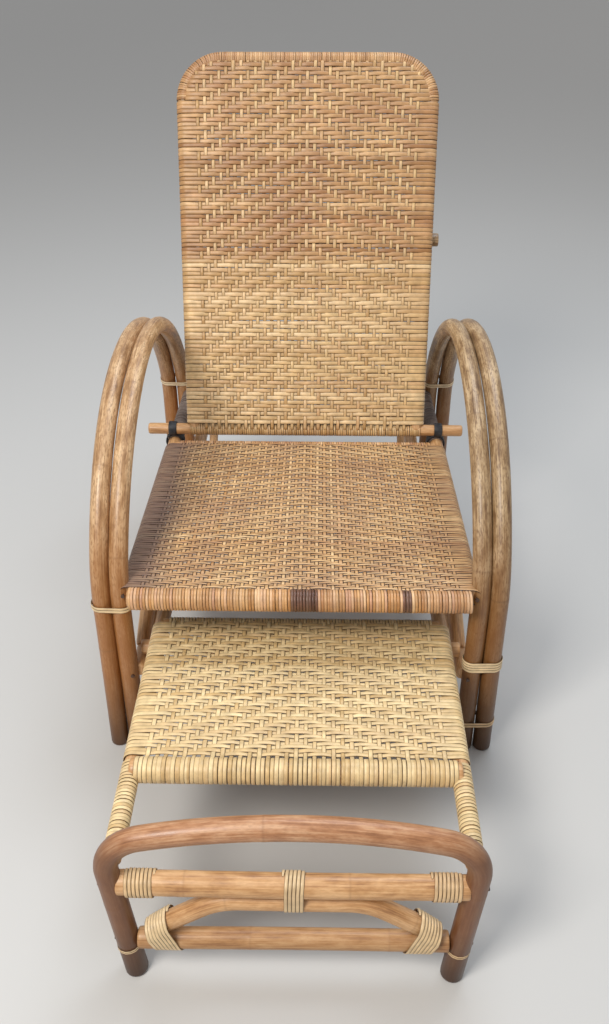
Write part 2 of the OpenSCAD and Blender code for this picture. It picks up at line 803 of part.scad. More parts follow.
// Footrest
module foot_rail_line(right, d, y0, y1) {
    mirrored(right) pole(d, [foot_rail_half, y0, foot_rail_z], [foot_rail_half, y1, foot_rail_z]);
}

module end_frame_line(d) {
    turn = 90 + end_leg_lean - end_top_slope;
    leg = end_leg + foot_trim;
    translate([-end_foot_half, end_y, 0]) rotate([0, 0, -90]) rotate([end_leg_lean, 0, 0])
        translate([0, 0, -foot_trim])
        bent_pole(d, [
            [leg], [end_corner_r, turn], [end_top_r, 2 * end_top_slope], [end_corner_r, turn], [leg]
        ]);
}

module footrest_rail(right) {
    color(honey_pole) placed() difference() {
        foot_rail_line(right, foot_rail_d, end_y + end_r / 2, foot_tail_y);
        end_frame_line(end_frame_d + 2 * joint_gap);
    }
}

module foot_bar_between(d, y, z) {
    difference() {
        pole_x(d, foot_rail_half, y, z);
        foot_rail_line(true, foot_rail_d + 2 * joint_gap, y - cut, y + cut);
        foot_rail_line(false, foot_rail_d + 2 * joint_gap, y - cut, y + cut);
    }
}

module footrest_front_bar() {
    color(honey_pole) placed() foot_bar_between(foot_front_d, foot_panel_front_y, foot_front_z);
}

module footrest_rear_bar() {
    color(honey_pole) placed() foot_bar_between(foot_rail_d, foot_panel_rear_y, foot_rail_z);
}

module footrest_panel() {
    front = foot_panel_front_y - foot_front_wrap_r;
    rear = foot_panel_rear_y + foot_wrap_r;
    color(pale_cane) placed() difference() {
        union() {
            foot_rail_line(true, 2 * foot_wrap_r, front, rear);
            foot_rail_line(false, 2 * foot_wrap_r, front, rear);
            pole_x(2 * foot_front_wrap_r, foot_rail_half, foot_panel_front_y, foot_front_z);
            pole_x(2 * foot_wrap_r, foot_rail_half, foot_panel_rear_y, foot_rail_z);
            translate([-foot_rail_half, foot_panel_front_y, foot_rail_z + foot_wrap_r - sheet_t - sheet_drop])
                cube([2 * foot_rail_half, foot_panel_len, sheet_t]);
        }
        foot_rail_line(true, foot_rail_d + 2 * joint_gap, front - cut, rear + cut);
        foot_rail_line(false, foot_rail_d + 2 * joint_gap, front - cut, rear + cut);
        pole_x(foot_front_d + 2 * joint_gap, foot_rail_half, foot_panel_front_y, foot_front_z);
        pole_x(foot_rail_d + 2 * joint_gap, foot_rail_half, foot_panel_rear_y, foot_rail_z);
    }
}

module footrest_whipping(right) {
    color(pale_cane) placed() difference() {
        foot_rail_line(right, 2 * foot_wrap_r, whip_end_y,
            foot_panel_front_y - foot_front_wrap_r - joint_gap);
        foot_rail_line(right, foot_rail_d + 2 * joint_gap, end_y, 0);
        end_frame_line(end_frame_d + 2 * joint_gap);
    }
}

// Nails through the end frame's legs into the ends of both cross bars
module end_nail_line(d, head_d) {
    for (s = [-1, 1], z = [upper_bar_h, lower_bar_h]) mirror([s > 0 ? 0 : 1, 0, 0])
        translate([end_leg_x(z), end_y, z]) rotate([0, -90 + end_leg_lean, 0])
        translate([0, 0, -end_r]) {
            cylinder(d = d, h = nail_len, $fn = 24);
            translate([0, 0, -nail_head_h]) cylinder(d = head_d, h = nail_head_h + 2, $fn = 24);
        }
}

module end_nail_bores() {
    end_nail_line(nail_d + joint_gap, nail_head_d + joint_gap);
}

module end_frame_nails() {
    color(nail_grey) placed() end_nail_line(nail_d, nail_head_d);
}

module footrest_end_frame() {
    color(dark_pole) placed() difference() {
        end_frame_line(end_frame_d);
        end_nail_bores();
        translate([0, end_y, -cut]) cube([4 * end_foot_half, 4 * end_frame_d, 2 * cut], center = true);
    }
}

module end_bar(d, z) {
    difference() {
        pole_x(d, end_leg_x(z), end_y, z);
        end_frame_line(end_frame_d + 2 * joint_gap);
        end_nail_bores();
    }
}

module footrest_upper_bar() {
    color(honey_pole) placed() end_bar(upper_bar_d, upper_bar_h);
}

module footrest_lower_bar() {
    color(dark_pole) placed() end_bar(lower_bar_d, lower_bar_h);
}

module footrest_small_arch() {
    color(dark_pole) placed() difference() {
        translate([-small_arch_half, end_y, small_arch_end_z]) rotate([0, 0, -90])
            rotate([small_arch_slope - 90, 0, 0]) bent_pole(small_arch_d, [
                [small_arch_leg], [small_arch_r, small_arch_slope], [2 * small_arch_flat],
                [small_arch_r, small_arch_slope], [small_arch_leg]
            ]);
        pole_x(lower_bar_d + 2 * joint_gap, end_foot_half, end_y, lower_bar_h);
    }
}

module footrest_binding_centre() {
    color(pale_cane) placed()
        translate([-centre_turns * strand_pitch / 2, end_y, small_arch_top_z]) along_bar()
        winding(centre_turns, small_arch_pole_r, upper_r, [upper_bar_h - small_arch_top_z, 0]);
}

module footrest_binding_upper(right) {
    start = end_leg_x(upper_bar_h) - end_r / cos(end_leg_lean) - strand_pitch * (upper_turns + 1);
    color(pale_cane) placed() mirrored(right) translate([start, end_y, upper_bar_h])
        along_bar() winding(upper_turns, upper_r, upper_r);
}

module footrest_binding_lower(right) {
    start = small_arch_half - strand_pitch * (lower_turns + 0.5);
    spread = small_arch_end_z - lower_bar_h + (small_arch_half - start) * tan(small_arch_slope);
    arch_reach = (small_arch_pole_r + strand_w / 2 * sin(small_arch_slope)) / cos(small_arch_slope);
    color(pale_cane) placed() mirrored(right) translate([start, end_y, lower_bar_h])
        along_bar() winding(lower_turns, lower_r, arch_reach, [spread, -tan(small_arch_slope)]);
}

arm_hoop(false, false);  // arm_hoop_left_inner
arm_hoop(false, true);  // arm_hoop_left_outer
arm_hoop(true, false);  // arm_hoop_right_inner
arm_hoop(true, true);  // arm_hoop_right_outer
seat_rail(false);  // seat_rail_left
seat_rail(true);  // seat_rail_right
seat_front_rail();
seat_rear_rail();
seat_panel();
rail_whipping(false);  // rail_whipping_left
rail_whipping(true);  // rail_whipping_right
side_stretcher(false);  // side_stretcher_left
side_stretcher(true);  // side_stretcher_right
side_arch(false);  // side_arch_left
side_arch(true);  // side_arch_right
front_cross_pole();
rear_cross_pole();
rear_low_pole();
rack_cross_pole();
rack();
rack_whipping(false);  // rack_whipping_left
rack_whipping(true);  // rack_whipping_right
rack_strut(false);  // rack_strut_left
rack_strut(true);  // rack_strut_right
hinge_strap(false);  // hinge_strap_left
hinge_strap(true);  // hinge_strap_right
leg_binding(false, seat_h - left_binding_drop, left_turns);  // hoop_binding_left
leg_binding(true, right_binding_z, right_turns);  // hoop_binding_right_upper
leg_binding(true, low_binding_h, low_turns);  // hoop_binding_right_lower
rear_binding(false);  // rear_binding_left
rear_binding(true);  // rear_binding_right
rail_nails();
back_frame();
hinge_bar();
back_panel();
back_cross_pole();
cross_pole_nails();
prop_leg(false);  // prop_leg_left
prop_leg(true);  // prop_leg_right
prop_loop(false);  // prop_loop_left
prop_loop(true);  // prop_loop_right
prop_foot_bar();
footrest_rail(false);  // footrest_rail_left
footrest_rail(true);  // footrest_rail_right
footrest_front_bar();
footrest_rear_bar();
footrest_panel();
footrest_whipping(false);  // footrest_whipping_left
footrest_whipping(true);  // footrest_whipping_right
footrest_end_frame();
footrest_upper_bar();
footrest_lower_bar();
footrest_small_arch();
end_frame_nails();
footrest_binding_centre();
footrest_binding_upper(false);  // footrest_binding_upper_left
footrest_binding_upper(true);  // footrest_binding_upper_right
footrest_binding_lower(false);  // footrest_binding_lower_left
footrest_binding_lower(true);  // footrest_binding_lower_right
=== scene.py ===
import json
import math
import random

import bmesh
import bpy
import numpy as np
from mathutils import Matrix, Vector


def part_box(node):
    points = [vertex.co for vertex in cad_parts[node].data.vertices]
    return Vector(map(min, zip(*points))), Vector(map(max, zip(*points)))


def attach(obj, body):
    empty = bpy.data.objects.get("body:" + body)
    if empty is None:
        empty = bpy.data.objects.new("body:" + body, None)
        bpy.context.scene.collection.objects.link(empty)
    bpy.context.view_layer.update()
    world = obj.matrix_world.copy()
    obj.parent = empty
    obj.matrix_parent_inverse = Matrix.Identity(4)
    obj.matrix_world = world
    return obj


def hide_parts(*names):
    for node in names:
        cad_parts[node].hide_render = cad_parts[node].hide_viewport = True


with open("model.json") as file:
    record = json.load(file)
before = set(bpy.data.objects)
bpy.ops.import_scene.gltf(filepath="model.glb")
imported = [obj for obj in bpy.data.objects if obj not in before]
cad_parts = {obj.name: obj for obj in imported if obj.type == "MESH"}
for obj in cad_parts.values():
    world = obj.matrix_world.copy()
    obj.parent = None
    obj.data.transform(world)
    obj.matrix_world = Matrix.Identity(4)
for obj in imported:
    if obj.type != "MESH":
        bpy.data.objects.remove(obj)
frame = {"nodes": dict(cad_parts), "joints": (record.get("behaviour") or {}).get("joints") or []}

scene = bpy.context.scene
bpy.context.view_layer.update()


# Camera, floor and light
# The view is from before the footrest, from above the chair's back. The floor is a pale sheet
# without a seam, and two broad lamps and a pale sky give soft light from the left and above.

def srgb(colour):
    """Linear colour with alpha, from an sRGB hex value."""
    parts = [int(colour[i:i + 2], 16) / 255 for i in (1, 3, 5)]
    return [c / 12.92 if c <= 0.04045 else ((c + 0.055) / 1.055) ** 2.4 for c in parts] + [1]


def feed(tree, node, links):
    """Sets a node's inputs. A link's value is a socket or a constant."""
    for key, value in links.items():
        if isinstance(value, bpy.types.NodeSocket):
            tree.links.new(value, node.inputs[key])
        else:
            node.inputs[key].default_value = value


def add(tree, kind, links, stops=None, **settings):
    """Adds a node with its settings and links. stops are a ramp's colours."""
    node = tree.nodes.new(kind)
    for key, value in settings.items():
        setattr(node, key, value)
    feed(tree, node, links)
    if stops:
        ramp = node.color_ramp.elements
        while len(ramp) < len(stops):
            ramp.new(0.5)
        for element, (place, colour) in zip(ramp, stops):
            element.position = place
            element.color = srgb(colour)
    return node


def new_material(name):
    """A material with its shader and output, and no pattern yet."""
    material = bpy.data.materials.new(name)
    material.use_nodes = True
    tree = material.node_tree
    tree.nodes.clear()
    shader = add(tree, "ShaderNodeBsdfPrincipled", {})
    add(tree, "ShaderNodeOutputMaterial", {"Surface": shader.outputs[0]})
    return material, tree, shader


def linked(name, data):
    piece = bpy.data.objects.new(name, data)
    scene.collection.objects.link(piece)
    return piece


camera = linked("camera", bpy.data.cameras.new("camera"))
camera.data.sensor_fit = "VERTICAL"
camera.data.sensor_height = 36
camera.data.lens = 35.16
camera.location = (0.030, -1.5765, 1.331)
camera.rotation_euler = (math.radians(56.9), 0, math.radians(1))
scene.camera = camera
scene.view_settings.view_transform = "Standard"

FLOOR_HALF = 20.0
floor_mesh = bpy.data.meshes.new("floor")
floor_bm = bmesh.new()
bmesh.ops.create_grid(floor_bm, x_segments=2, y_segments=2, size=FLOOR_HALF)
floor_bm.to_mesh(floor_mesh)
floor_bm.free()
floor = linked("floor", floor_mesh)
# Matt paper: broad and pale, with a faint mottle
paper, tree, shader = new_material("matt_paper")
mottle = add(tree, "ShaderNodeTexNoise", {"Scale": 3.0, "Detail": 2.0})
tone = add(tree, "ShaderNodeValToRGB", {"Fac": mottle.outputs["Fac"]},
           stops=[(0.3, "#cbc9c5"), (0.7, "#d2cfca")])
feed(tree, shader, {"Base Color": tone.outputs["Color"], "Roughness": 0.95, "Specular IOR Level": 0.1})
floor.data.materials.append(paper)

world = bpy.data.worlds.new("sky")
world.use_nodes = True
sky = world.node_tree
sky.nodes.clear()
view = add(sky, "ShaderNodeLightPath", {})
seen = add(sky, "ShaderNodeMath",
           {0: view.outputs["Is Camera Ray"], 1: view.outputs["Is Transmission Ray"]}, operation="MAXIMUM")
pale = add(sky, "ShaderNodeBackground", {"Color": srgb("#d3d5d7"), "Strength": 1.0})
light = add(sky, "ShaderNodeBackground", {"Color": srgb("#f4f6fa"), "Strength": 0.48})
both = add(sky, "ShaderNodeMixShader", {0: seen.outputs[0], 1: light.outputs[0], 2: pale.outputs[0]})
add(sky, "ShaderNodeOutputWorld", {"Surface": both.outputs[0]})
scene.world = world

LAMP_AIM = Vector((0, 0, 0.4))
for name, place, size, watts, colour in [
        ("key_lamp", (-1.3, -2.1, 2.8), 1.1, 82, (1.0, 0.97, 0.93)),
        ("top_lamp", (0.5, 0.7, 3.0), 1.6, 42, (0.80, 0.89, 1.0))]:
    lamp = linked(name, bpy.data.lights.new(name, "AREA"))
    lamp.data.size = size
    lamp.data.energy = watts
    lamp.data.color = colour
    lamp.location = place
    lamp.rotation_euler = (LAMP_AIM - Vector(place)).to_track_quat("-Z", "Y").to_euler()


# Arm hoops
# Four poles of thick cane, peeled, steamed and bent, two side by side on each side of the chair.
# They are lacquered. Each keeps the rings of its growth joints and is browner low down.

HOOP_R = 0.01575
LEG_STRAIGHT = 0.310
ARM_CORNER_R = 0.190
HOOP_PITCH = 0.0320
low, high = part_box("arm_hoop_right_inner")
HALF_FRONT = high.x - HOOP_R
HALF_REAR = low.x + HOOP_R
LEG_Y = low.y + HOOP_R
HOOP_DEPTH = high.y - low.y - 2 * HOOP_R
ARM_RISE = high.z - HOOP_R - LEG_STRAIGHT
TOE_IN = math.atan((HALF_FRONT - HALF_REAR) / HOOP_DEPTH)
ARM_TOP_R = ((HOOP_DEPTH / 2) ** 2 - HOOP_DEPTH * ARM_CORNER_R + ARM_RISE ** 2) / (
    2 * (ARM_RISE - ARM_CORNER_R))
ARM_TURN = math.degrees(math.atan2(ARM_TOP_R - ARM_RISE, HOOP_DEPTH / 2 - ARM_CORNER_R))
ROUND = [(math.cos(a), math.sin(a)) for a in [math.tau * k / 20 for k in range(20)]]


def bent_line(half, step=0.005):
    """Points of a pole bent in the YZ plane. It starts up along Z and bends towards +Y.
    A run is (length,) for a straight stretch or (radius, turn) for a bend. half holds the runs up
    to the middle one, and the others mirror them."""
    place, heading = Vector((0, 0, 0)), 0.0
    points = [place]
    for run in half + half[-2::-1]:
        turn = math.radians(run[1]) if len(run) > 1 else 0.0
        length = run[0] * turn if turn else run[0]
        count = max(1, round(length / step))
        part = turn / count
        chord = 2 * run[0] * math.sin(part / 2) if turn else length / count
        for _ in range(count):
            ahead = heading + part / 2
            place = place + chord * Vector((0, math.sin(ahead), math.cos(ahead)))
            heading += part
            points.append(place)
    return points


def walked_along(points):
    """How far along a line each of its points lies."""
    walked = [0.0]
    for a, b in zip(points, points[1:]):
        walked.append(walked[-1] + (b - a).length)
    return walked


def ways_ahead(points):
    """The direction of a line at each of its points."""
    legs = [(b - a).normalized() for a, b in zip(points, points[1:])]
    return [legs[0]] + [(a + b).normalized() for a, b in zip(legs, legs[1:])] + [legs[-1]]


def swept(name, runs, section):
    """One mesh with a strand or pole along each run of (place, outward normal, thickness).
    The section's Y points along the normal. The map's U is the share of the way along the run.
    Gives the piece and the length of its longest run."""
    outline = bpy.data.curves.new(name + "_section", "CURVE")
    outline.dimensions = "2D"
    loop = outline.splines.new("POLY")
    loop.points.add(len(section) - 1)
    loop.points.foreach_set("co", [c for x, y in section for c in (x, y, 0, 1)])
    loop.use_cyclic_u = True
    path = bpy.data.curves.new(name, "CURVE")
    path.dimensions = "3D"
    path.twist_mode = "MINIMUM"
    path.bevel_mode = "OBJECT"
    path.bevel_object = linked(name + "_section", outline)
    path.use_fill_caps = True
    longest = 0
    for run in runs:
        places = [place for place, _, _ in run]
        ahead = ways_ahead(places)
        turn = ahead[0].to_track_quat("-Z", "Y")
        tilts = []
        for i, (_, normal, _) in enumerate(run):
            if i:
                turn = ahead[i - 1].rotation_difference(ahead[i]) @ turn
            up = turn @ Vector((0, 1, 0))
            tilts.append(math.atan2(up.cross(normal).dot(ahead[i]), up.dot(normal)))
        spline = path.splines.new("POLY")
        spline.points.add(len(run) - 1)
        spline.points.foreach_set("co", [c for place in places for c in (*place, 1)])
        spline.points.foreach_set("tilt", tilts)
        spline.points.foreach_set("radius", [size for _, _, size in run])
        longest = max(longest, walked_along(places)[-1])
    curve = linked(name, path)
    bpy.context.view_layer.update()
    mesh = bpy.data.meshes.new_from_object(curve.evaluated_get(bpy.context.evaluated_depsgraph_get()))
    bpy.data.objects.remove(path.bevel_object)
    bpy.data.objects.remove(curve)
    bm = bmesh.new()
    bm.from_mesh(mesh)
    bmesh.ops.remove_doubles(bm, verts=bm.verts, dist=1e-6)
    bmesh.ops.recalc_face_normals(bm, faces=bm.faces)
    for face in bm.faces:
        face.smooth = len(face.verts) == 4
    bm.to_mesh(mesh)
    bm.free()
    return linked(name, mesh), longest


def map_of(mesh):
    """The map's values, U and V in turn."""
    uv = np.empty(2 * len(mesh.loops), np.float32)
    mesh.uv_layers[0].data.foreach_get("uv", uv)
    return uv


def dress(piece, materials, body, slot, *replaced):
    """Gives a finished piece its materials and its place in the frame."""
    piece.data.materials.clear()
    for material in materials:
        piece.data.materials.append(material)
    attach(piece, body)
    if replaced:
        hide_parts(*replaced)


JOINT_SPACING = 0.27
JOINT_RISE = 0.014
JOINT_HALF = 0.0042
JOINT_STEPS = (-0.005, -0.003, -0.0015, 0, 0.0015, 0.003, 0.005)
RING_HALF = 0.0016
POLE_STEP = 0.006
POLE_BOW = 0.0007
BOW_SPANS = (0.11, 0.14)
PATTERN_SHIFT = 3.0
END_ROUND = [(0.0, 0.84), (0.0008, 0.93), (0.002, 0.98), (0.004, 1.0)]


def cane_pole(name, points, radius, materials, body, slot, seed, spacing=JOINT_SPACING):
    """A cane pole along points, with the rings of its growth joints and slightly rounded ends."""
    rng = random.Random(seed)
    walked = walked_along(points)
    length = walked[-1]
    joints = []
    joint = rng.uniform(0.25, 0.85) * spacing
    while joint < length - 0.02:
        joints.append(joint)
        joint += spacing * rng.uniform(0.8, 1.2)
    stations = {round(k * POLE_STEP, 4) for k in range(int(length / POLE_STEP) + 1)}
    stations |= {round(j + d, 4) for j in joints for d in JOINT_STEPS}
    stations |= {round(d, 4) for d, _ in END_ROUND} | {round(length - d, 4) for d, _ in END_ROUND}
    stations = sorted(s for s in stations if 0 <= s <= length)
    phase = [rng.uniform(0, math.tau) for _ in range(2)]
    # A direction square to every stretch: the normal of the plane in which the pole is bent
    legs = [(b - a).normalized() for a, b in zip(points, points[1:])]
    level = max((legs[0].cross(leg) for leg in legs), key=lambda v: v.length)
    if level.length < 0.1:
        level = legs[0].orthogonal()
    run, rings, i = [], [], 0
    for s in stations:
        while i < len(points) - 2 and walked[i + 1] < s:
            i += 1
        share = (s - walked[i]) / (walked[i + 1] - walked[i])
        side = (level - level.dot(legs[i]) * legs[i]).normalized()
        lift = legs[i].cross(side)
        bow = side * math.sin(s / BOW_SPANS[0] + phase[0]) + lift * math.sin(s / BOW_SPANS[1] + phase[1])
        place = points[i].lerp(points[i + 1], share) + POLE_BOW * bow
        near = max([math.exp(-((s - j) / JOINT_HALF) ** 2) for j in joints] + [0])
        end = min(s, length - s)
        size = next((a + (b - a) * (end - p) / (q - p) for (p, a), (q, b) in zip(END_ROUND, END_ROUND[1:])
                     if p <= end <= q), 1.0)
        run.append((place, side, size * (1 + JOINT_RISE * near)))
        rings.append(max([math.exp(-((s - j) / RING_HALF) ** 2) for j in joints] + [0]))
    piece, _ = swept(name, [run], [(radius * x, radius * y) for x, y in ROUND])
    mesh = piece.data
    for face in mesh.polygons:
        face.material_index = 0 if len(face.vertices) == 4 else 1
    uv = map_of(mesh)
    corner = np.empty(len(mesh.loops), np.int32)
    mesh.loops.foreach_get("vertex_index", corner)
    ring = np.rint(uv[0::2] * (len(run) - 1)).astype(int)
    corners = [len(face.vertices) for face in mesh.polygons]
    wall = np.repeat([count == 4 for count in corners], corners)
    joint_mark = np.zeros(len(mesh.vertices), np.float32)
    joint_mark[corner[wall]] = np.array(rings)[ring[wall]]
    mesh.attributes.new("joint", "FLOAT", "POINT").data.foreach_set("value", joint_mark)
    # Each pole takes its own stretch of the pattern
    uv[0::2] = np.array(stations)[ring] + PATTERN_SHIFT * seed
    mesh.uv_layers[0].data.foreach_set("uv", uv)
    dress(piece, materials, body, slot, name)


VARNISH_ROUGH = 0.42
VARNISH_COAT = 0.2


def lacquered_cane(name, pale, mid, dark, low_tone, black, browned, blackened, mottle):
    """Peeled cane under old varnish: long soft streaks, brown mottle, faint rings and a broken gloss.
    browned and blackened are the heights between which the tone turns browner and then black, and
    mottle is the depth of the flecks."""
    material, tree, shader = new_material(name)
    place = add(tree, "ShaderNodeTexCoord", {})
    split = add(tree, "ShaderNodeSeparateXYZ", {0: place.outputs["UV"]})
    angle = add(tree, "ShaderNodeMath", {0: split.outputs["Y"], 1: math.tau}, operation="MULTIPLY")
    east = add(tree, "ShaderNodeMath", {0: angle.outputs[0]}, operation="COSINE")
    north = add(tree, "ShaderNodeMath", {0: angle.outputs[0]}, operation="SINE")
    # The pole as if straightened: X and Y in pole radii of about 15 mm, Z in metres
    unrolled = add(tree, "ShaderNodeCombineXYZ",
                   {0: east.outputs[0], 1: north.outputs[0], 2: split.outputs["X"]})
    streak_place = add(tree, "ShaderNodeMapping", {"Vector": unrolled.outputs[0], "Scale": (6.0, 6.0, 11.0)})
    streak = add(tree, "ShaderNodeTexNoise", {"Vector": streak_place.outputs[0], "Scale": 1.0,
                                              "Detail": 5.0, "Roughness": 0.65})
    blotch_place = add(tree, "ShaderNodeMapping", {"Vector": unrolled.outputs[0], "Scale": (1.0, 1.0, 20.0)})
    blotch = add(tree, "ShaderNodeTexNoise", {"Vector": blotch_place.outputs[0], "Scale": 1.0,
                                              "Detail": 4.0, "Roughness": 0.62})
    mixed = add(tree, "ShaderNodeMix", {0: 0.55, 2: streak.outputs["Fac"], 3: blotch.outputs["Fac"]},
                data_type="FLOAT")
    tone = add(tree, "ShaderNodeValToRGB", {"Fac": mixed.outputs[0]},
               stops=[(0.35, dark), (0.48, mid), (0.60, pale)])
    # Mottle: dark brown flecks of about 2 by 6 mm where the varnish has flaked and held dirt
    fleck_place = add(tree, "ShaderNodeMapping", {"Vector": unrolled.outputs[0], "Scale": (7.0, 7.0, 130.0)})
    fleck = add(tree, "ShaderNodeTexNoise", {"Vector": fleck_place.outputs[0], "Scale": 1.0, "Detail": 3.0})
    flecked = add(tree, "ShaderNodeMapRange", {0: fleck.outputs["Fac"], 1: 0.50, 2: 0.64, 3: 0.0, 4: mottle})
    spread = add(tree, "ShaderNodeMath", {0: flecked.outputs[0], 1: blotch.outputs["Fac"]},
                 operation="MULTIPLY")
    mottled = add(tree, "ShaderNodeMix", {0: spread.outputs[0], 6: tone.outputs["Color"], 7: srgb(dark)},
                  data_type="RGBA")
    # Towards the floor the colour turns browner, and at the feet nearly black
    height = add(tree, "ShaderNodeSeparateXYZ", {0: place.outputs["Object"]})
    lowness = add(tree, "ShaderNodeMapRange",
                  {0: height.outputs["Z"], 1: browned[0], 2: browned[1], 3: 0.0, 4: 0.8})
    low_toned = add(tree, "ShaderNodeMix", {0: lowness.outputs[0], 6: mottled.outputs[2], 7: srgb(low_tone)},
               data_type="RGBA")
    footness = add(tree, "ShaderNodeMapRange",
                   {0: height.outputs["Z"], 1: blackened[0], 2: blackened[1], 3: 0.0, 4: 0.85})
    footed = add(tree, "ShaderNodeMix", {0: footness.outputs[0], 6: low_toned.outputs[2], 7: srgb(black)},
                 data_type="RGBA")
    mark = add(tree, "ShaderNodeAttribute", {}, attribute_name="joint")
    faint = add(tree, "ShaderNodeMath", {0: mark.outputs["Fac"], 1: 0.3}, operation="MULTIPLY")
    ringed = add(tree, "ShaderNodeMix", {0: faint.outputs[0], 6: footed.outputs[2], 7: srgb(dark)},
                 data_type="RGBA")
    gloss = add(tree, "ShaderNodeMapRange", {0: blotch.outputs["Fac"], 1: 0.3, 2: 0.7,
                                             3: VARNISH_ROUGH - 0.08, 4: VARNISH_ROUGH + 0.16})
    bump = add(tree, "ShaderNodeBump", {"Strength": 0.4, "Distance": 0.0006, "Height": streak.outputs["Fac"]})
    feed(tree, shader, {"Base Color": ringed.outputs[2], "Roughness": gloss.outputs[0], "IOR": 1.5,
                        "Coat Weight": VARNISH_COAT, "Coat Roughness": 0.25, "Normal": bump.outputs[0]})
    return material


# Sawn cane: the end grain is paler, open and dirty in the middle
cut_end, tree, shader = new_material("sawn_cane_end")
place = add(tree, "ShaderNodeTexCoord", {})
pores = add(tree, "ShaderNodeTexVoronoi", {"Vector": place.outputs["Object"], "Scale": 1 / 0.0012})
tone = add(tree, "ShaderNodeValToRGB", {"Fac": pores.outputs["Distance"]},
           stops=[(0.1, "#4a2f1b"), (0.45, "#a5713f"), (0.8, "#c08a52")])
feed(tree, shader, {"Base Color": tone.outputs["Color"], "Roughness": 0.8})

honey_cane = lacquered_cane("varnished_cane_honey", "#dfb280", "#c49360", "#966840", "#7a502a", "#3a2312",
                            (0.15, -0.02), (0.02, 0.0), 0.25)
russet_cane = lacquered_cane("varnished_cane_russet", "#cd9f78", "#b07b53", "#7d5031", "#63391b", "#291608",
                             (0.300, 0.255), (0.12, 0.0), 0.4)
sandy_cane = lacquered_cane("varnished_cane_sandy", "#dcb88c", "#b68d62", "#7b5634", "#9c6026", "#36200c",
                            (0.50, 0.30), (0.17, 0.0), 1.1)
umber_cane = lacquered_cane("varnished_cane_umber", "#c6a982", "#9c7d57", "#5d3f26", "#84521f", "#2b1707",
                            (0.48, 0.28), (0.24, 0.0), 1.1)
HONEY = [honey_cane, cut_end]
RUSSET = [russet_cane, cut_end]


def side_place(right):
    """Turns the plane of one side, with Y along the hoop and X outwards, into the frame."""
    return (Matrix.Diagonal((1 if right else -1, 1, 1, 1)) @ Matrix.Translation((HALF_FRONT, LEG_Y, 0))
            @ Matrix.Rotation(TOE_IN, 4, "Z"))


hoop_line = bent_line([(LEG_STRAIGHT,), (ARM_CORNER_R, ARM_TURN), (ARM_TOP_R, 180 - 2 * ARM_TURN)])
for side, right in (("left", False), ("right", True)):
    for which, out in (("inner", 0), ("outer", HOOP_PITCH)):
        place = side_place(right) @ Matrix.Translation((out, 0, 0))
        finish = [umber_cane if right else sandy_cane, cut_end]
        cane_pole(f"arm_hoop_{side}_{which}", [place @ p for p in hoop_line], HOOP_R, finish, "frame",
                  "dark_pole" if which == "inner" else "honey_pole", 1 + 2 * right + (out > 0))


# Seat rails, lower frame and rack
# Straight and bent poles of the same cane, nailed to the inner hoops. The stretchers carry two
# cross poles under the footrest, an arch props each seat rail, and the rack lies behind the seat.

RAIL_R = 0.013
FRONT_RAIL_R = 0.0155


def straight(node, radius):
    """The two ends of a straight pole's middle line, from its node's box."""
    low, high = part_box(node)
    size = high - low
    if size.x > size.y:
        y, z = (low.y + high.y) / 2, (low.z + high.z) / 2
        return [Vector((low.x, y, z)), Vector((high.x, y, z))]
    near, far = sorted((abs(low.x), abs(high.x)), reverse=True)
    sign = 1 if low.x > 0 else -1
    return [Vector((sign * (near - radius), low.y, high.z - radius)),
            Vector((sign * (far + radius), high.y, low.z + radius))]


def filled(ends, step=0.02):
    count = max(1, round((ends[1] - ends[0]).length / step))
    return [ends[0].lerp(ends[1], k / count) for k in range(count + 1)]


def across(first, last, at):
    """Points straight across the chair from one X to another, at the depth and height of a point."""
    return filled([Vector((x, at.y, at.z)) for x in (first, last)])


for seed, (node, radius) in enumerate([
        ("seat_rail_left", RAIL_R), ("seat_rail_right", RAIL_R), ("seat_front_rail", FRONT_RAIL_R),
        ("seat_rear_rail", RAIL_R), ("side_stretcher_left", RAIL_R), ("side_stretcher_right", RAIL_R),
        ("front_cross_pole", RAIL_R), ("rear_cross_pole", RAIL_R), ("rear_low_pole", RAIL_R),
        ("rack_cross_pole", RAIL_R)]):
    cane_pole(node, filled(straight(node, radius)), radius, HONEY, "frame", "honey_pole", 10 + seed)

ARCH_R = 0.013
ARCH_BEND_R = 0.300
ARCH_LEG_GAP = 0.057
RAIL_INSET = 0.0145
arch_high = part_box("side_arch_right")[1]
ARCH_HALF = HOOP_DEPTH / math.cos(TOE_IN) / 2 - ARCH_LEG_GAP
ARCH_RISE = 0.1288
ARCH_TURN = math.asin(ARCH_BEND_R / math.hypot(ARCH_HALF, ARCH_BEND_R - ARCH_RISE)) - math.atan2(
    ARCH_BEND_R - ARCH_RISE, ARCH_HALF)
ARCH_LEG = (ARCH_HALF - ARCH_BEND_R * math.sin(ARCH_TURN)) / math.cos(ARCH_TURN)
arch_line = bent_line([(ARCH_LEG,), (ARCH_BEND_R, 2 * math.degrees(ARCH_TURN))])
ARCH_END_Z = arch_high.z - ARCH_R - ARCH_RISE
for side, right in (("left", False), ("right", True)):
    place = (side_place(right) @ Matrix.Translation((-RAIL_INSET, ARCH_LEG_GAP, ARCH_END_Z))
             @ Matrix.Rotation(ARCH_TURN - math.pi / 2, 4, "X"))
    cane_pole(f"side_arch_{side}", [place @ p for p in arch_line], ARCH_R, HONEY, "frame", "honey_pole",
              22 + right)

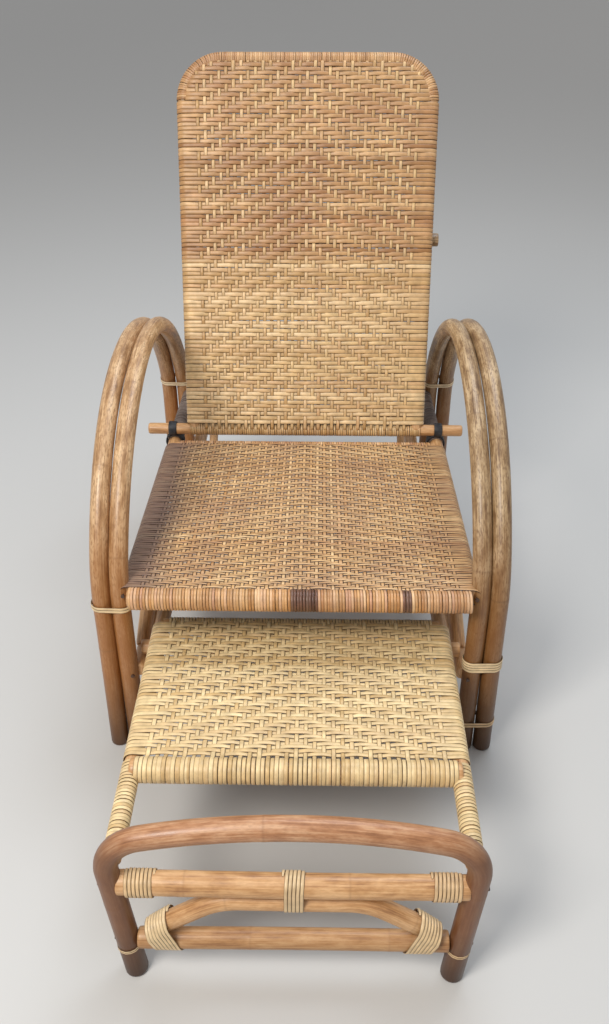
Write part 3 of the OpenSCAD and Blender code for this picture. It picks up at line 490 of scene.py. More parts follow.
RACK_R = 0.013
RACK_CORNER_R = 0.060
STRUT_R = 0.010
rack_low, rack_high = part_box("rack")
RACK_HALF = rack_high.x - RACK_R
RACK_RUN = rack_high.y - RACK_R - RACK_CORNER_R - rack_low.y
RACK_Z = (rack_low.z + rack_high.z) / 2
rack_line = bent_line([(RACK_RUN,), (RACK_CORNER_R, 90), (2 * (RACK_HALF - RACK_CORNER_R),)])
rack_place = Matrix(((0, 1, 0, -RACK_HALF), (0, 0, 1, rack_low.y), (1, 0, 0, RACK_Z), (0, 0, 0, 1)))
cane_pole("rack", [rack_place @ p for p in rack_line], RACK_R, HONEY, "frame", "honey_pole", 25)
for seed, side in enumerate(("left", "right")):
    low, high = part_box(f"rack_strut_{side}")
    x = (low.x + high.x) / 2
    ends = [Vector((x, low.y + STRUT_R / 2, low.z)), Vector((x, high.y - STRUT_R, high.z))]
    cane_pole(f"rack_strut_{side}", filled(ends), STRUT_R, HONEY, "frame", "honey_pole", 26 + seed)


# Cane wound round the rails behind the seat and round the rack
# Flat strands split from the cane's bark, wound tight and weathered grey. Each turn is drawn by
# itself, so that neighbours differ in tone as they do where a strand ends and the next begins.

# Rounded on the bark side and flat below. Its edges lie at 0 and 0.75 of the way round, and
# SECTION_TOP is the share at its top.
STRAND_SECTION = [(1, 0), (0.82, 0.6), (0.42, 0.92), (0, 1), (-0.42, 0.92), (-0.82, 0.6), (-1, 0), (0, -0.7)]
SECTION_TOP = 0.375


def flat(width, thickness):
    return [(width / 2 * x, thickness / 2 * y) for x, y in STRAND_SECTION]


def split_cane(name, tones, dark, rough=0.5, patch=0.5, patch_tone=None, edge=0.9, rim_from=0.55,
               left=None):
    """Split cane: glossy bark side, fine fibres along the strand, dirt and painted shade along its edges.
    Each strand takes its own tone, and broad patches of the panel are stained. patch and edge are
    the depths of stain and of the edge darkening, and left is the tone of painted shadow over a
    panel's left side."""
    material, tree, shader = new_material(name)
    place = add(tree, "ShaderNodeTexCoord", {})
    island = add(tree, "ShaderNodeNewGeometry", {})
    own = add(tree, "ShaderNodeValToRGB", {"Fac": island.outputs["Random Per Island"]},
              stops=[(k / (len(tones) - 1), tone) for k, tone in enumerate(tones)])
    # Along a strand the tone drifts every 14 mm or so
    drift = add(tree, "ShaderNodeTexNoise",
                {"Vector": place.outputs["Object"], "Scale": 1 / 0.014, "Detail": 4.0})
    value = add(tree, "ShaderNodeMapRange", {0: drift.outputs["Fac"], 1: 0.3, 2: 0.7, 3: 0.78, 4: 1.14})
    drifted = add(tree, "ShaderNodeHueSaturation",
                  {"Color": own.outputs["Color"], "Value": value.outputs[0]})
    # Stains of about 120 mm
    stain = add(tree, "ShaderNodeTexNoise",
                {"Vector": place.outputs["Object"], "Scale": 1 / 0.12, "Detail": 4.0})
    amount = add(tree, "ShaderNodeMapRange", {0: stain.outputs["Fac"], 1: 0.42, 2: 0.66, 3: 0.0, 4: patch})
    stained = add(tree, "ShaderNodeMix",
                  {0: amount.outputs[0], 6: drifted.outputs[0], 7: srgb(patch_tone or dark)},
                  data_type="RGBA")
    if left:
        # Painted shadow: the panel's left side is darkened as if it lay in shade
        east = add(tree, "ShaderNodeSeparateXYZ", {0: place.outputs["Object"]})
        left_shadow = add(tree, "ShaderNodeMapRange",
                   {0: east.outputs["X"], 1: -0.205, 2: -0.25, 3: 0.0, 4: 0.75})
        stained = add(tree, "ShaderNodeMix", {0: left_shadow.outputs[0], 6: stained.outputs[2], 7: srgb(left)},
                      data_type="RGBA")
    # Dirt and painted shade along both edges of a strand, where it meets its neighbours
    split = add(tree, "ShaderNodeSeparateXYZ", {0: place.outputs["UV"]})
    from_top = add(tree, "ShaderNodeMath", {0: split.outputs["Y"], 1: 1 / SECTION_TOP, 2: -1.0},
                   operation="MULTIPLY_ADD")
    far = add(tree, "ShaderNodeMath", {0: from_top.outputs[0]}, operation="ABSOLUTE")
    edge_dirt_and_shade = add(tree, "ShaderNodeMapRange",
              {0: far.outputs[0], 1: rim_from, 2: rim_from + 0.32, 3: 0.0, 4: edge})
    edge_darkened = add(tree, "ShaderNodeMix", {0: edge_dirt_and_shade.outputs[0], 6: stained.outputs[2], 7: srgb(dark)},
                 data_type="RGBA")
    # Fibres 0.3 mm wide, drawn as lines along the strand
    fibre_place = add(tree, "ShaderNodeMapping", {"Vector": place.outputs["UV"], "Scale": (40.0, 22.0, 1.0)})
    fibre = add(tree, "ShaderNodeTexNoise", {"Vector": fibre_place.outputs[0], "Scale": 1.0, "Detail": 2.0})
    bump = add(tree, "ShaderNodeBump", {"Strength": 0.4, "Distance": 0.0003, "Height": fibre.outputs["Fac"]})
    feed(tree, shader, {"Base Color": edge_darkened.outputs[2], "Roughness": rough, "IOR": 1.5,
                        "Normal": bump.outputs[0]})
    return material


grey_cane = split_cane("weathered_split_cane_grey", ["#6b5a50", "#85746a", "#94857c", "#77655a"],
                       "#3c2e26", 0.6)

TURN_STEPS = 14
UP = math.pi / 2


def wound(points, side, radius, pitch, start, rng):
    """Turns of a strand round a line of points: one run a turn, each ending where the next begins.
    start is the angle at which each turn begins and ends, out of sight, from a side direction."""
    line = [(place, ahead, side) for place, ahead in zip(points, ways_ahead(points))]
    walked = walked_along(points)
    runs, i = [], 0
    count = int(walked[-1] / pitch)
    spare = (walked[-1] - count * pitch) / 2
    for turn in range(count):
        size = 1 + (rng.uniform(-0.07, 0.05) if rng else 0)
        lean = rng.uniform(-0.1, 0.1) * pitch if rng else 0
        run = []
        for k in range(TURN_STEPS + 2):
            share = k / (TURN_STEPS + 1)
            s = spare + (turn + 0.1 + 0.8 * share) * pitch + lean * math.sin(math.pi * share)
            s = min(walked[-1], max(0.0, s))
            nearby = range(max(0, i - 1), len(walked) - 2)
            i = next((n for n in nearby if walked[n + 1] >= s), len(walked) - 2)
            part = (s - walked[i]) / (walked[i + 1] - walked[i])
            place, ahead, square = (a.lerp(b, part) for a, b in zip(line[i], line[i + 1]))
            ahead.normalize()
            square = (square - square.dot(ahead) * ahead).normalized()
            around = start + math.tau * share * 1.01
            out = square * math.cos(around) + ahead.cross(square) * math.sin(around)
            run.append((place + out * radius, out, size))
        runs.append(run)
    return runs


def strands(name, runs, width, thickness, material, body, slot, *replaced):
    """Flat strands along runs. Their map's U is made metres, for the fibres."""
    piece, longest = swept(name, runs, flat(width, thickness))
    uv = map_of(piece.data)
    uv[0::2] *= longest
    piece.data.uv_layers[0].data.foreach_set("uv", uv)
    dress(piece, [material], body, slot, *replaced)


WRAP_CLEAR = 0.0003


def wrapped(name, points, side, pole_r, pitch, width, thickness, rng, *finish, start=0.0):
    """A strand wound round a pole along points, just clear of the pole. finish is the material,
    body, slot and replaced node; the slot is not used."""
    turns = wound(points, side, pole_r + WRAP_CLEAR + thickness / 2, pitch, start, rng)
    strands(name, turns, width, thickness, *finish)


EAST = Vector((1, 0, 0))
DOWN = Vector((0, 0, -1))
WHIP_W = 0.0047
WHIP_T = 0.0018
WHIP_PITCH = 0.0051
for seed, side in enumerate(("left", "right")):
    rng = random.Random(100 + seed)
    low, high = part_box(f"rail_whipping_{side}")
    rail = straight(f"seat_rail_{side}", RAIL_R)
    fall = (rail[1] - rail[0]).normalized()
    ends = [rail[0] + fall * ((y - rail[0].y) / fall.y) for y in (low.y + 0.003, high.y - 0.001)]
    node = f"rail_whipping_{side}"
    wrapped(node, filled(ends), EAST, RAIL_R, WHIP_PITCH, WHIP_W, WHIP_T, rng,
            grey_cane, "frame", "grey_cane", node, start=UP)
    low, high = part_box(f"rack_whipping_{side}")
    x = (low.x + high.x) / 2
    ends = [Vector((x, low.y + 0.003, RACK_Z)), Vector((x, high.y - 0.001, RACK_Z))]
    node = f"rack_whipping_{side}"
    wrapped(node, filled(ends), EAST, RACK_R, WHIP_PITCH, WHIP_W, WHIP_T, rng,
            grey_cane, "frame", "grey_cane", node, start=UP)


# Woven seat
# Split cane over the four rails. Broad strands run from front to rear, over two rows and under
# two, stepping outwards from the middle, and each row is one strand that goes on round the rails.

WEFT_T = 0.0022
WARP_W = 0.0070
WARP_T = 0.0018
RELIEF = 0.0012
ROW_FILL = 1.12
ROW_SHIFT = 0.0005
ROW_WAVE = 0.0006
WAVE_SPAN = 0.05
STRAND_SHIFT = 0.0006
STRAND_LIFT = 0.0001
WRAP_ANGLES = [math.radians(d) for d in (68, 46, 24, 2, -20, -45, -70, -95, -120, -145)]


class Panel:
    """A woven panel between two end rails. Its own axes are X across, S along and N outwards.
    A panel whose corners are round takes its own last_row_at, reach and wraps."""

    def __init__(self, origin, along, out, half, rail_r, column_pitch, row_pitch, first_row, last_row,
                 relief=RELIEF):
        self.place = Matrix.Translation(origin) @ Matrix((
            (1, along.x, out.x), (0, along.y, out.y), (0, along.z, out.z))).to_4x4()
        self.half = half
        self.level = rail_r + WRAP_CLEAR + WEFT_T / 2
        self.columns = int((half(0) - rail_r - 0.004) / column_pitch)
        self.column_pitch = column_pitch
        self.first_row, self.last_row = first_row, last_row
        self.rows = round((last_row - first_row) / row_pitch)
        self.row_pitch = (last_row - first_row) / self.rows
        self.relief = relief

    def side(self, column, row):
        """1 where the strand along the panel lies over the row, and -1 where it lies under."""
        return 1 if (row + abs(column)) % 4 < 2 else -1

    def column_x(self, column, s):
        return column * self.column_pitch * self.half(s) / self.half(0)

    def point(self, x, s, n, normal, size):
        turn = self.place.to_3x3()
        return self.place @ Vector((x, s, n)), turn @ Vector(normal), size

    def warp(self, rng, begin):
        """Strands along the panel. begin holds (s, n, lean) of the points before the first row, and
        past the last row each strand dips behind the rail."""
        runs = []
        end = [(0.004, self.level - 0.001, UP), (0.009, self.level - 0.004, UP)]
        for column in range(-self.columns, self.columns + 1):
            off = rng.uniform(-STRAND_SHIFT, STRAND_SHIFT)
            size = rng.uniform(0.88, 1.06)
            lift = rng.uniform(-STRAND_LIFT, STRAND_LIFT)
            last = self.last_row_at(column)
            if last < self.first_row + 4 * self.row_pitch:
                continue
            run = [self.point(self.column_x(column, s) + off, s, n, (0, math.cos(a), math.sin(a)), size)
                   for s, n, a in begin]
            for k in range(2 * self.rows + 1):
                s = self.first_row + k / 2 * self.row_pitch
                side = (self.side(column, k // 2) + self.side(column, (k - 1) // 2)) / 2
                if s <= last:
                    n = self.level + lift + side * 0.85 * self.relief
                    run.append(self.point(self.column_x(column, s) + off, s, n, (0, 0, 1), size))
            run += [self.point(self.column_x(column, last + s) + off, last + s, n,
                               (0, math.cos(a), math.sin(a)), size) for s, n, a in end]
            runs.append(run)
        return runs

    def last_row_at(self, column):
        return self.last_row

    def reach(self, s):
        """How far out a row goes before it turns down round the rails or ends."""
        return self.half(s)

    def wraps(self, s):
        return True

    def edge(self, s, reach, sign, size):
        """Points of a row past its last crossing: down round the side rail, or tucked in short of it."""
        if not self.wraps(s):
            return [self.point(sign * (reach + 0.004), s, self.level - 0.003, (0, 0, 1), size)]
        return [self.point(sign * (reach + self.level * math.cos(a)), s, self.level * math.sin(a),
                           (sign * math.cos(a), 0, math.sin(a)), size) for a in WRAP_ANGLES]

    def weft(self, rng, first=0, last=None):
        """Rows across the panel, one strand a row. Where they can, they go on round both side rails."""
        runs = []
        for row in range(first, last or self.rows):
            base = self.first_row + (row + 0.5) * self.row_pitch + rng.uniform(-ROW_SHIFT, ROW_SHIFT)
            size = rng.uniform(0.88, 1.05)
            lift = rng.uniform(-STRAND_LIFT, STRAND_LIFT)
            wave = rng.uniform(0, math.tau)
            reach = self.reach(base)
            columns = [c for c in range(-self.columns, self.columns + 1)
                       if abs(self.column_x(c, base)) < reach - 0.006]
            if len(columns) < 3:
                continue
            xs = [self.column_x(c, base) for c in columns]
            heights = [-self.side(c, row) * self.relief * rng.uniform(0.8, 1.15) for c in columns]
            mids = [((a + b) / 2, 0.6 * (p + q)) for a, b, p, q in zip(xs, xs[1:], heights, heights[1:])]
            run = []
            for x, n in [(-reach, 0)] + sorted(list(zip(xs, heights)) + mids) + [(reach, 0)]:
                s = base + ROW_WAVE * math.sin(x / WAVE_SPAN + wave) * max(0.0, 1 - (x / reach) ** 6)
                run.append(self.point(x, s, self.level + n + lift, (0, 0, 1), size))
            runs.append(self.edge(base, reach, -1, size)[::-1] + run + self.edge(base, reach, 1, size))
        return runs


# The seat cane's last colour, #705a55, is painted shadow over the seat's left side
seat_row_cane = split_cane("split_cane_sandy", ["#cb9c66", "#dfb57e", "#bd8c57", "#eac48f", "#cf9f6e"],
                           "#3a1f0e", 0.42, 0.5, "#a57a5c", 1.0, 0.34, "#705a55")
seat_roll_cane = split_cane("split_cane_amber", ["#c48f58", "#deb07a", "#b8814c", "#eac191", "#c99471"],
                            "#4f2e18", 0.4, 0.5, "#a2755c")
seat_dark_cane = split_cane("split_cane_plum", ["#6a4632", "#7a5644", "#5c3c2c", "#80604e"],
                            "#2f1c12", 0.4, 0.3)
front_low, front_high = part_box("seat_front_rail")
rear_low, rear_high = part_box("seat_rear_rail")
front = (front_low + front_high) / 2
rear = (rear_low + rear_high) / 2
along = (rear - front).normalized()
seat_length = (rear - front).length


def seat_half(s):
    return HALF_FRONT - RAIL_INSET - (front.y - LEG_Y + s * along.y) * math.tan(TOE_IN)


SEAT_FINISH = ("frame", "seat_cane", "seat_panel")
seat = Panel(front, along, Vector((0, -along.z, along.y)), seat_half, RAIL_R, column_pitch=0.0133,
             row_pitch=0.0047, first_row=FRONT_RAIL_R - 0.0045, last_row=seat_length - RAIL_R + 0.006,
             relief=0.0008)
rng = random.Random(7)
seat_start = [(0.003, 0.009, UP), (0.008, 0.0135, UP)]
strands("seat_strands_along", seat.warp(rng, seat_start), 0.0078, 0.0015, seat_row_cane, *SEAT_FINISH)
strands("seat_rows", seat.weft(rng), 1.25 * seat.row_pitch, 0.0018, seat_row_cane, *SEAT_FINISH)
# Two groups of turns on the front roll are of darker cane
ROLL_PITCH = 0.0048
ROLL_T = 0.0026
ROLL_W = 0.0050
DARK_SPANS = ((-0.017, 0.028), (0.163, 0.175))
roll = across(front_low.x + 0.001, front_high.x - 0.001, front)
turns = wound(roll, DOWN, FRONT_RAIL_R + WRAP_CLEAR + ROLL_T / 2, ROLL_PITCH, 0.0, rng)
dark_turns = [run for run in turns if any(a < run[0][0].x < b for a, b in DARK_SPANS)]
pale_turns = [run for run in turns if run not in dark_turns]
strands("seat_front_roll", pale_turns, ROLL_W, ROLL_T, seat_roll_cane, *SEAT_FINISH)
strands("seat_front_roll_dark", dark_turns, ROLL_W, ROLL_T, seat_dark_cane, *SEAT_FINISH)
wrapped("seat_rear_roll", across(rear_low.x + 0.012, rear_high.x - 0.012, rear), DOWN, RAIL_R,
        0.0045, 0.0047, 0.0018, rng, seat_roll_cane, *SEAT_FINISH)


# Hinge straps
# Black leather bands at each end of the hinge bar, one round the bar and one round the rail below
# it. Each goes round once, with its tail over its start.

# Leather blackened with dye and grease: soft sheen, a fine pebbled grain, greyed where it rubs
leather, tree, shader = new_material("blackened_leather")
place = add(tree, "ShaderNodeTexCoord", {})
grain = add(tree, "ShaderNodeTexVoronoi", {"Vector": place.outputs["Object"], "Scale": 1 / 0.0012})
wear = add(tree, "ShaderNodeTexNoise", {"Vector": place.outputs["Object"], "Scale": 1 / 0.008, "Detail": 4.0})
tone = add(tree, "ShaderNodeValToRGB", {"Fac": wear.outputs["Fac"]},
           stops=[(0.35, "#17171a"), (0.6, "#2b2b2e"), (0.8, "#4d4946")])
bump = add(tree, "ShaderNodeBump", {"Strength": 0.4, "Distance": 0.0004, "Height": grain.outputs["Distance"]})
feed(tree, shader, {"Base Color": tone.outputs["Color"], "Roughness": 0.55, "Normal": bump.outputs[0]})

STRAP_W = 0.016
STRAP_T = 0.003
STRAP_CLEAR = 0.0005
STRAP_LAP = 0.35
LAP_RISE = 0.25
BAND = [(1, -0.3), (1, 0.3), (0.93, 0.75), (0.8, 1), (-0.8, 1), (-0.93, 0.75), (-1, 0.3), (-1, -0.3),
        (-0.93, -0.75), (-0.8, -1), (0.8, -1), (0.93, -0.75)]


def pivot(name):
    """Where a joint stands."""
    return Vector(next(joint["pos_m"] for joint in frame["joints"] if joint["name"] == name))


HINGE = pivot("back_recline")
HINGE_BAR_R = 0.01125
WHIP_R = RAIL_R + 0.0026


def band_round(centre, second, pole_r, steps=30):
    """A band once round a pole from its underside, with its tail over its start. It turns towards
    the direction second."""
    run = []
    for k in range(steps + 1):
        share = k / steps
        a = math.tau * (1 + STRAP_LAP / math.tau) * share
        over = a - math.tau + LAP_RISE
        lift = STRAP_T * 0.95 * max(0.0, over / (STRAP_LAP + LAP_RISE)) ** 0.5 if over > 0 else 0
        out = DOWN * math.cos(a) + second * math.sin(a)
        radius = pole_r + STRAP_CLEAR + STRAP_T / 2
        run.append((centre + out * (radius + min(lift, STRAP_T * 0.95)), out, 1.0))
    return run


for side in ("left", "right"):
    low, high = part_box(f"hinge_strap_{side}")
    sign = 1 if side == "right" else -1
    rail = straight(f"seat_rail_{side}", RAIL_R)
    fall = (rail[1] - rail[0]).normalized()
    below = rail[0] + fall * ((HINGE.y - rail[0].y) / fall.y)
    bar = Vector((below.x + sign * 0.003, HINGE.y, HINGE.z))
    runs = [band_round(bar, Vector((0, 1, 0)), HINGE_BAR_R),
            band_round(below, Vector((-sign, 0, 0)), WHIP_R)]
    piece, longest = swept(f"hinge_strap_{side}", runs, [(STRAP_W / 2 * x, STRAP_T / 2 * y) for x, y in BAND])
    dress(piece, [leather], "frame", "strap", f"hinge_strap_{side}")


# Bindings round the legs
# Pale split cane, wound round both poles of a pair and tucked in: two turns on the left, four
# and two on the right, and two round each pair of rear legs.

binding_cane = split_cane("split_cane_binding", ["#dfba8a", "#efd4a6", "#d2aa78", "#f6dfb8"],
                          "#52341c", 0.42, 0.4, "#b08c62", 0.75, 0.5)
BIND_W = 0.0051
BIND_T = 0.0017
BIND_PITCH = 0.0053
BIND_OUT = 0.0014
BEND_STEPS = 11


def winding(turns, near, far, spread, widen=0.0, lean=0.0):
    """A strand wound round two poles that lie side by side, or round one where spread is 0.
    Both its ends taper and are tucked against the pole."""
    run = []
    count = int((turns * 360 + 70) / 180 * BEND_STEPS)
    for k in range(count + 1):
        a = math.radians(k * 180 / BEND_STEPS)
        climb = BIND_PITCH * a / math.tau
        far_side = math.cos(a) > 0
        tuck = min(1.0, (min(k, count - k) + 0.5) / 3)
        reach = (far if far_side else near) + 0.0002 + (BIND_OUT - 0.0002) * tuck
        x = (spread + widen * (climb + lean * spread) if far_side else 0) + reach * math.cos(a)
        out = Vector((math.cos(a), math.sin(a), 0))
        size = 0.4 + 0.6 * tuck + 0.05 * math.sin(1.7 * k)
        run.append((Vector((x, reach * math.sin(a), climb + lean * x)), out, size))
    return run


def moved(run, place):
    turn = place.to_3x3()
    return [(place @ p, turn @ n, size) for p, n, size in run]


for name, right, turns in (("hoop_binding_left", False, 2), ("hoop_binding_right_upper", True, 4),
                           ("hoop_binding_right_lower", True, 2)):
    low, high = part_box(name)
    place = side_place(right) @ Matrix.Translation((0, 0, low.z + BIND_W / 2))
    run = winding(turns, HOOP_R, HOOP_R, HOOP_PITCH)
    strands(name, [moved(run, place)], BIND_W, BIND_T, binding_cane, "frame", "binding_cane", name)
for side, right in (("left", False), ("right", True)):
    node = f"rear_binding_{side}"
    low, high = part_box(node)
    middle = (low.z + high.z) / 2
    bend = math.asin((middle - LEG_STRAIGHT) / ARM_CORNER_R)
    leg_y = HOOP_DEPTH / math.cos(TOE_IN) - ARM_CORNER_R * (1 - math.cos(bend))
    place = (side_place(right) @ Matrix.Translation((0, leg_y, middle))
             @ Matrix.Rotation(bend, 4, "X") @ Matrix.Translation((0, 0, -BIND_PITCH)))
    run = winding(2, HOOP_R, HOOP_R, HOOP_PITCH)
    strands(node, [moved(run, place)], BIND_W, BIND_T, binding_cane, "frame", "binding_cane", node)


# Back
# A pole bent to an upside-down U on the hinge bar, with split cane woven between its sides. The
# cane is wound round the pole at the top and its corners, and round the hinge bar at the foot.

BACK_R = 0.013
BACK_CORNER_R = 0.075
BACK_FLARE = math.radians(1.4)
BACK_LEN = 0.712
recline = Matrix.Translation(HINGE) @ Matrix.Rotation(math.radians(-25), 4, "X")
hinge_low, hinge_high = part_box("hinge_bar")
cane_pole("hinge_bar", across(hinge_low.x, hinge_high.x, HINGE), HINGE_BAR_R, HONEY, "back",
          "honey_pole", 30)
BACK_HALF = HALF_FRONT - RAIL_INSET - (HINGE.y - LEG_Y) * math.tan(TOE_IN) - 0.0415
BACK_LEG = (BACK_LEN - BACK_CORNER_R * (1 + math.sin(BACK_FLARE))) / math.cos(BACK_FLARE)
BACK_TOP_HALF = BACK_HALF + BACK_LEG * math.sin(BACK_FLARE) - BACK_CORNER_R * math.cos(BACK_FLARE)
flare_turn = 90 + math.degrees(BACK_FLARE)
back_line = bent_line([(BACK_LEG,), (BACK_CORNER_R, flare_turn), (2 * BACK_TOP_HALF,)])


def across_place(x, y, z, lean):
    """Turns a bent line's plane across the chair and leans its first leg, which stands at x, y, z."""
    return (Matrix.Translation((x, y, z)) @ Matrix.Rotation(-math.pi / 2, 4, "Z")
            @ Matrix.Rotation(lean, 4, "X"))


back_turn = across_place(-BACK_HALF, 0, 0, BACK_FLARE)
back_points = [back_turn @ p for p in back_line]
cane_pole("back_frame", [recline @ p for p in back_points], BACK_R, HONEY, "back", "honey_pole", 31)


def back_half(s):
    return BACK_HALF + s * math.tan(BACK_FLARE)


back_out = recline.to_3x3() @ Vector((0, -1, 0))
back_up = recline.to_3x3() @ Vector((0, 0, 1))
BACK_FINISH = ("back", "back_cane", "back_panel")
back = Panel(HINGE, back_up, back_out, back_half, BACK_R, column_pitch=0.0133, row_pitch=0.00786,
             first_row=HINGE_BAR_R + 0.0005, last_row=BACK_LEN - 0.0075)
CORNER_Z = BACK_LEN - BACK_CORNER_R
CORNER_IN = 0.0695


def back_reach(s):
    """How far out a row of the back goes: to the side poles, or to the inside of the corner."""
    if s < CORNER_Z:
        return back_half(s)
    return BACK_TOP_HALF + math.sqrt(max(0.0, CORNER_IN ** 2 - (s - CORNER_Z) ** 2))


def back_top_at(column):
    """How far up a strand along the back goes before the top pole or its corner."""
    x = abs(back.column_x(column, BACK_LEN))
    if x <= BACK_TOP_HALF:
        return back.last_row
    return min(back.last_row, CORNER_Z + math.sqrt(max(0.0, CORNER_IN ** 2 - (x - BACK_TOP_HALF) ** 2)))


back.reach = back_reach
back.wraps = lambda s: s < CORNER_Z
back.last_row_at = back_top_at
back_row_cane = split_cane("split_cane_tan", ["#b48555", "#c89c69", "#a27344", "#d8ae7b", "#b98759"],
                           "#3e2310", 0.42, 0.55, "#9c6c48")
back_low_cane = split_cane("split_cane_straw", ["#cda470", "#dfbb85", "#bf955f", "#ebc997", "#cc9f6d"],
                           "#432711", 0.42, 0.35, "#a98053")
rng = random.Random(11)
# Up to this row the cane is paler
JOIN_ROW = 41
back_start = [(0.0, back.level - 0.002, UP), (0.006, back.level - 0.001, UP)]
strands("back_strands_along", back.warp(rng, back_start), WARP_W, WARP_T, back_low_cane, *BACK_FINISH)
back_row_w = ROW_FILL * back.row_pitch
strands("back_rows_lower", back.weft(rng, 0, JOIN_ROW), back_row_w, WEFT_T, back_low_cane, *BACK_FINISH)
strands("back_rows_upper", back.weft(rng, JOIN_ROW), back_row_w, WEFT_T, back_row_cane, *BACK_FINISH)
edge_from = next(i for i, p in enumerate(back_points) if p.z > CORNER_Z - 0.003)
edge_to = len(back_points) - edge_from
edge_line = [recline @ p for p in back_points[edge_from:edge_to]]
wrapped("back_edge_winding", edge_line, -back_out, BACK_R, 0.0042, 0.0049, 0.0020, rng, back_row_cane,
        *BACK_FINISH)
foot_line = across(-BACK_HALF - 0.010, BACK_HALF + 0.010, HINGE)
wrapped("back_foot_winding", foot_line, -back_out, HINGE_BAR_R, 0.0044, 0.0043, 0.0014, rng, back_low_cane,
        *BACK_FINISH)

cross_low, cross_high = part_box("back_cross_pole")
CROSS = pivot("prop_swing")
CROSS_R = 0.013
cane_pole("back_cross_pole", across(cross_low.x, cross_high.x, CROSS), CROSS_R, [umber_cane, cut_end],
          "back", "honey_pole", 32)


# Prop behind the back
# Two thin poles hang on the cross pole in loops of cane, and a foot bar joins them. Nothing holds
# the bar down: it stands on the cane wound round the rack.

PROP_LEG_R = 0.010
FOOT_BAR_R = 0.011
foot_low, foot_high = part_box("prop_foot_bar")
foot = (foot_low + foot_high) / 2
cane_pole("prop_foot_bar", across(foot_low.x, foot_high.x, foot), FOOT_BAR_R, HONEY, "prop",
          "honey_pole", 34)
down = (foot - Vector((foot.x, CROSS.y, CROSS.z))).normalized()
LOOP_OUT = CROSS_R + WRAP_CLEAR
LOOP_LIFT = 0.0012
LOOP_PITCH = 0.0052
LOOP_STEPS = 14
LOOP_TAIL = (0.020, 0.028, 0.036)
for side in ("left", "right"):
    low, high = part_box(f"prop_leg_{side}")
    x = (low.x + high.x) / 2
    top = Vector((x, CROSS.y, CROSS.z)) + down * (LOOP_OUT + 0.004)
    bottom = Vector((x, foot.y, foot.z)) - down * (FOOT_BAR_R * 0.6)
    cane_pole(f"prop_leg_{side}", filled([top, bottom]), PROP_LEG_R, HONEY, "prop", "honey_pole",
              36 + (side == "right"))
    runs = []
    head = Vector((x, CROSS.y, CROSS.z))
    square = down.cross(EAST)
    for k in range(3):
        off = Vector(((k - 1) * LOOP_PITCH, 0, 0))
        run = []
        for step in range(LOOP_STEPS + 1):
            a = math.radians(-115 + 230 * step / LOOP_STEPS)
            out = -down * math.cos(a) + square * math.sin(a)
            run.append((head + off + out * (LOOP_OUT + LOOP_LIFT), out, 1.0))
        near_tail, far_tail = [
            [(head + off + down * d + square * sign * (PROP_LEG_R + LOOP_LIFT), square * sign, 1.0)
             for d in LOOP_TAIL] for sign in (-1, 1)]
        runs.append(near_tail[::-1] + run + far_tail)
    rng = random.Random(60 + (side == "right"))
    tied = filled([head + down * 0.021, head + down * 0.036], 0.004)
    runs += wound(tied, EAST, PROP_LEG_R + 0.0024 + 0.0009, 0.0048, UP, rng)
    strands(f"prop_loop_{side}", runs, 0.0046, 0.0018, binding_cane, "prop", "binding_cane",
            f"prop_loop_{side}")


# Footrest
# Two rails joined by a woven panel slide under the seat. A bent pole stands at their front end
# on two feet, with an upper and a lower bar and a small arch between them.

FOOT_RAIL_R = 0.0125
FOOT_FRONT_R = 0.017
END_R = 0.0165
for seed, (node, radius) in enumerate([
        ("footrest_rail_left", FOOT_RAIL_R), ("footrest_rail_right", FOOT_RAIL_R),
        ("footrest_front_bar", FOOT_FRONT_R), ("footrest_rear_bar", FOOT_RAIL_R)]):
    cane_pole(node, filled(straight(node, radius)), radius, HONEY, "footrest", "honey_pole", 40 + seed)
bar_low, bar_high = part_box("footrest_front_bar")
front_bar = (bar_low + bar_high) / 2
rear_bar_low, rear_bar_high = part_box("footrest_rear_bar")
rear_bar = (rear_bar_low + rear_bar_high) / 2

END_FOOT_HALF = 0.224
END_LEAN = math.radians(5.5)
END_CORNER_R = 0.062
END_SLOPE = math.radians(14)
frame_low, frame_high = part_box("footrest_end_frame")
END_Y = (frame_low.y + frame_high.y) / 2
END_H = frame_high.z - END_R
rise = END_H - END_CORNER_R * (math.cos(END_SLOPE) + math.sin(END_LEAN))
reach = END_FOOT_HALF - END_CORNER_R * (math.cos(END_LEAN) - math.sin(END_SLOPE))
share = math.cos(END_LEAN) * math.sin(END_SLOPE) + math.sin(END_LEAN) * (1 - math.cos(END_SLOPE))
END_LEG = (rise * math.sin(END_SLOPE) - reach * (1 - math.cos(END_SLOPE))) / share
END_TOP_R = (math.cos(END_LEAN) * reach + math.sin(END_LEAN) * rise) / share
end_turn = 90 + math.degrees(END_LEAN - END_SLOPE)
end_line = bent_line([(END_LEG,), (END_CORNER_R, end_turn), (END_TOP_R, 2 * math.degrees(END_SLOPE))])
end_place = across_place(-END_FOOT_HALF, END_Y, 0, END_LEAN)
cane_pole("footrest_end_frame", [end_place @ p for p in end_line], END_R, RUSSET, "footrest",
          "dark_pole", 44, 0.31)
UPPER_R = 0.017
LOWER_R = 0.015
COPE = Vector((0.008, 0, 0))
for node, radius, slot, seed, spacing in [("footrest_upper_bar", UPPER_R, "honey_pole", 45, 0.22),
                                          ("footrest_lower_bar", LOWER_R, "dark_pole", 46, 0.2)]:
    ends = straight(node, radius)
    cane_pole(node, filled([ends[0] + COPE, ends[1] - COPE]), radius, HONEY, "footrest", slot, seed, spacing)
SMALL_R = 0.014
SMALL_HALF = 0.195
SMALL_BEND_R = 0.090
SMALL_DEG = 35
SMALL_SLOPE = math.radians(SMALL_DEG)
SMALL_NOTCH = 0.011
arch_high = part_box("footrest_small_arch")[1]
SMALL_TOP = arch_high.z - SMALL_R
lower_low, lower_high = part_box("footrest_lower_bar")
LOWER_Z = (lower_low.z + lower_high.z) / 2
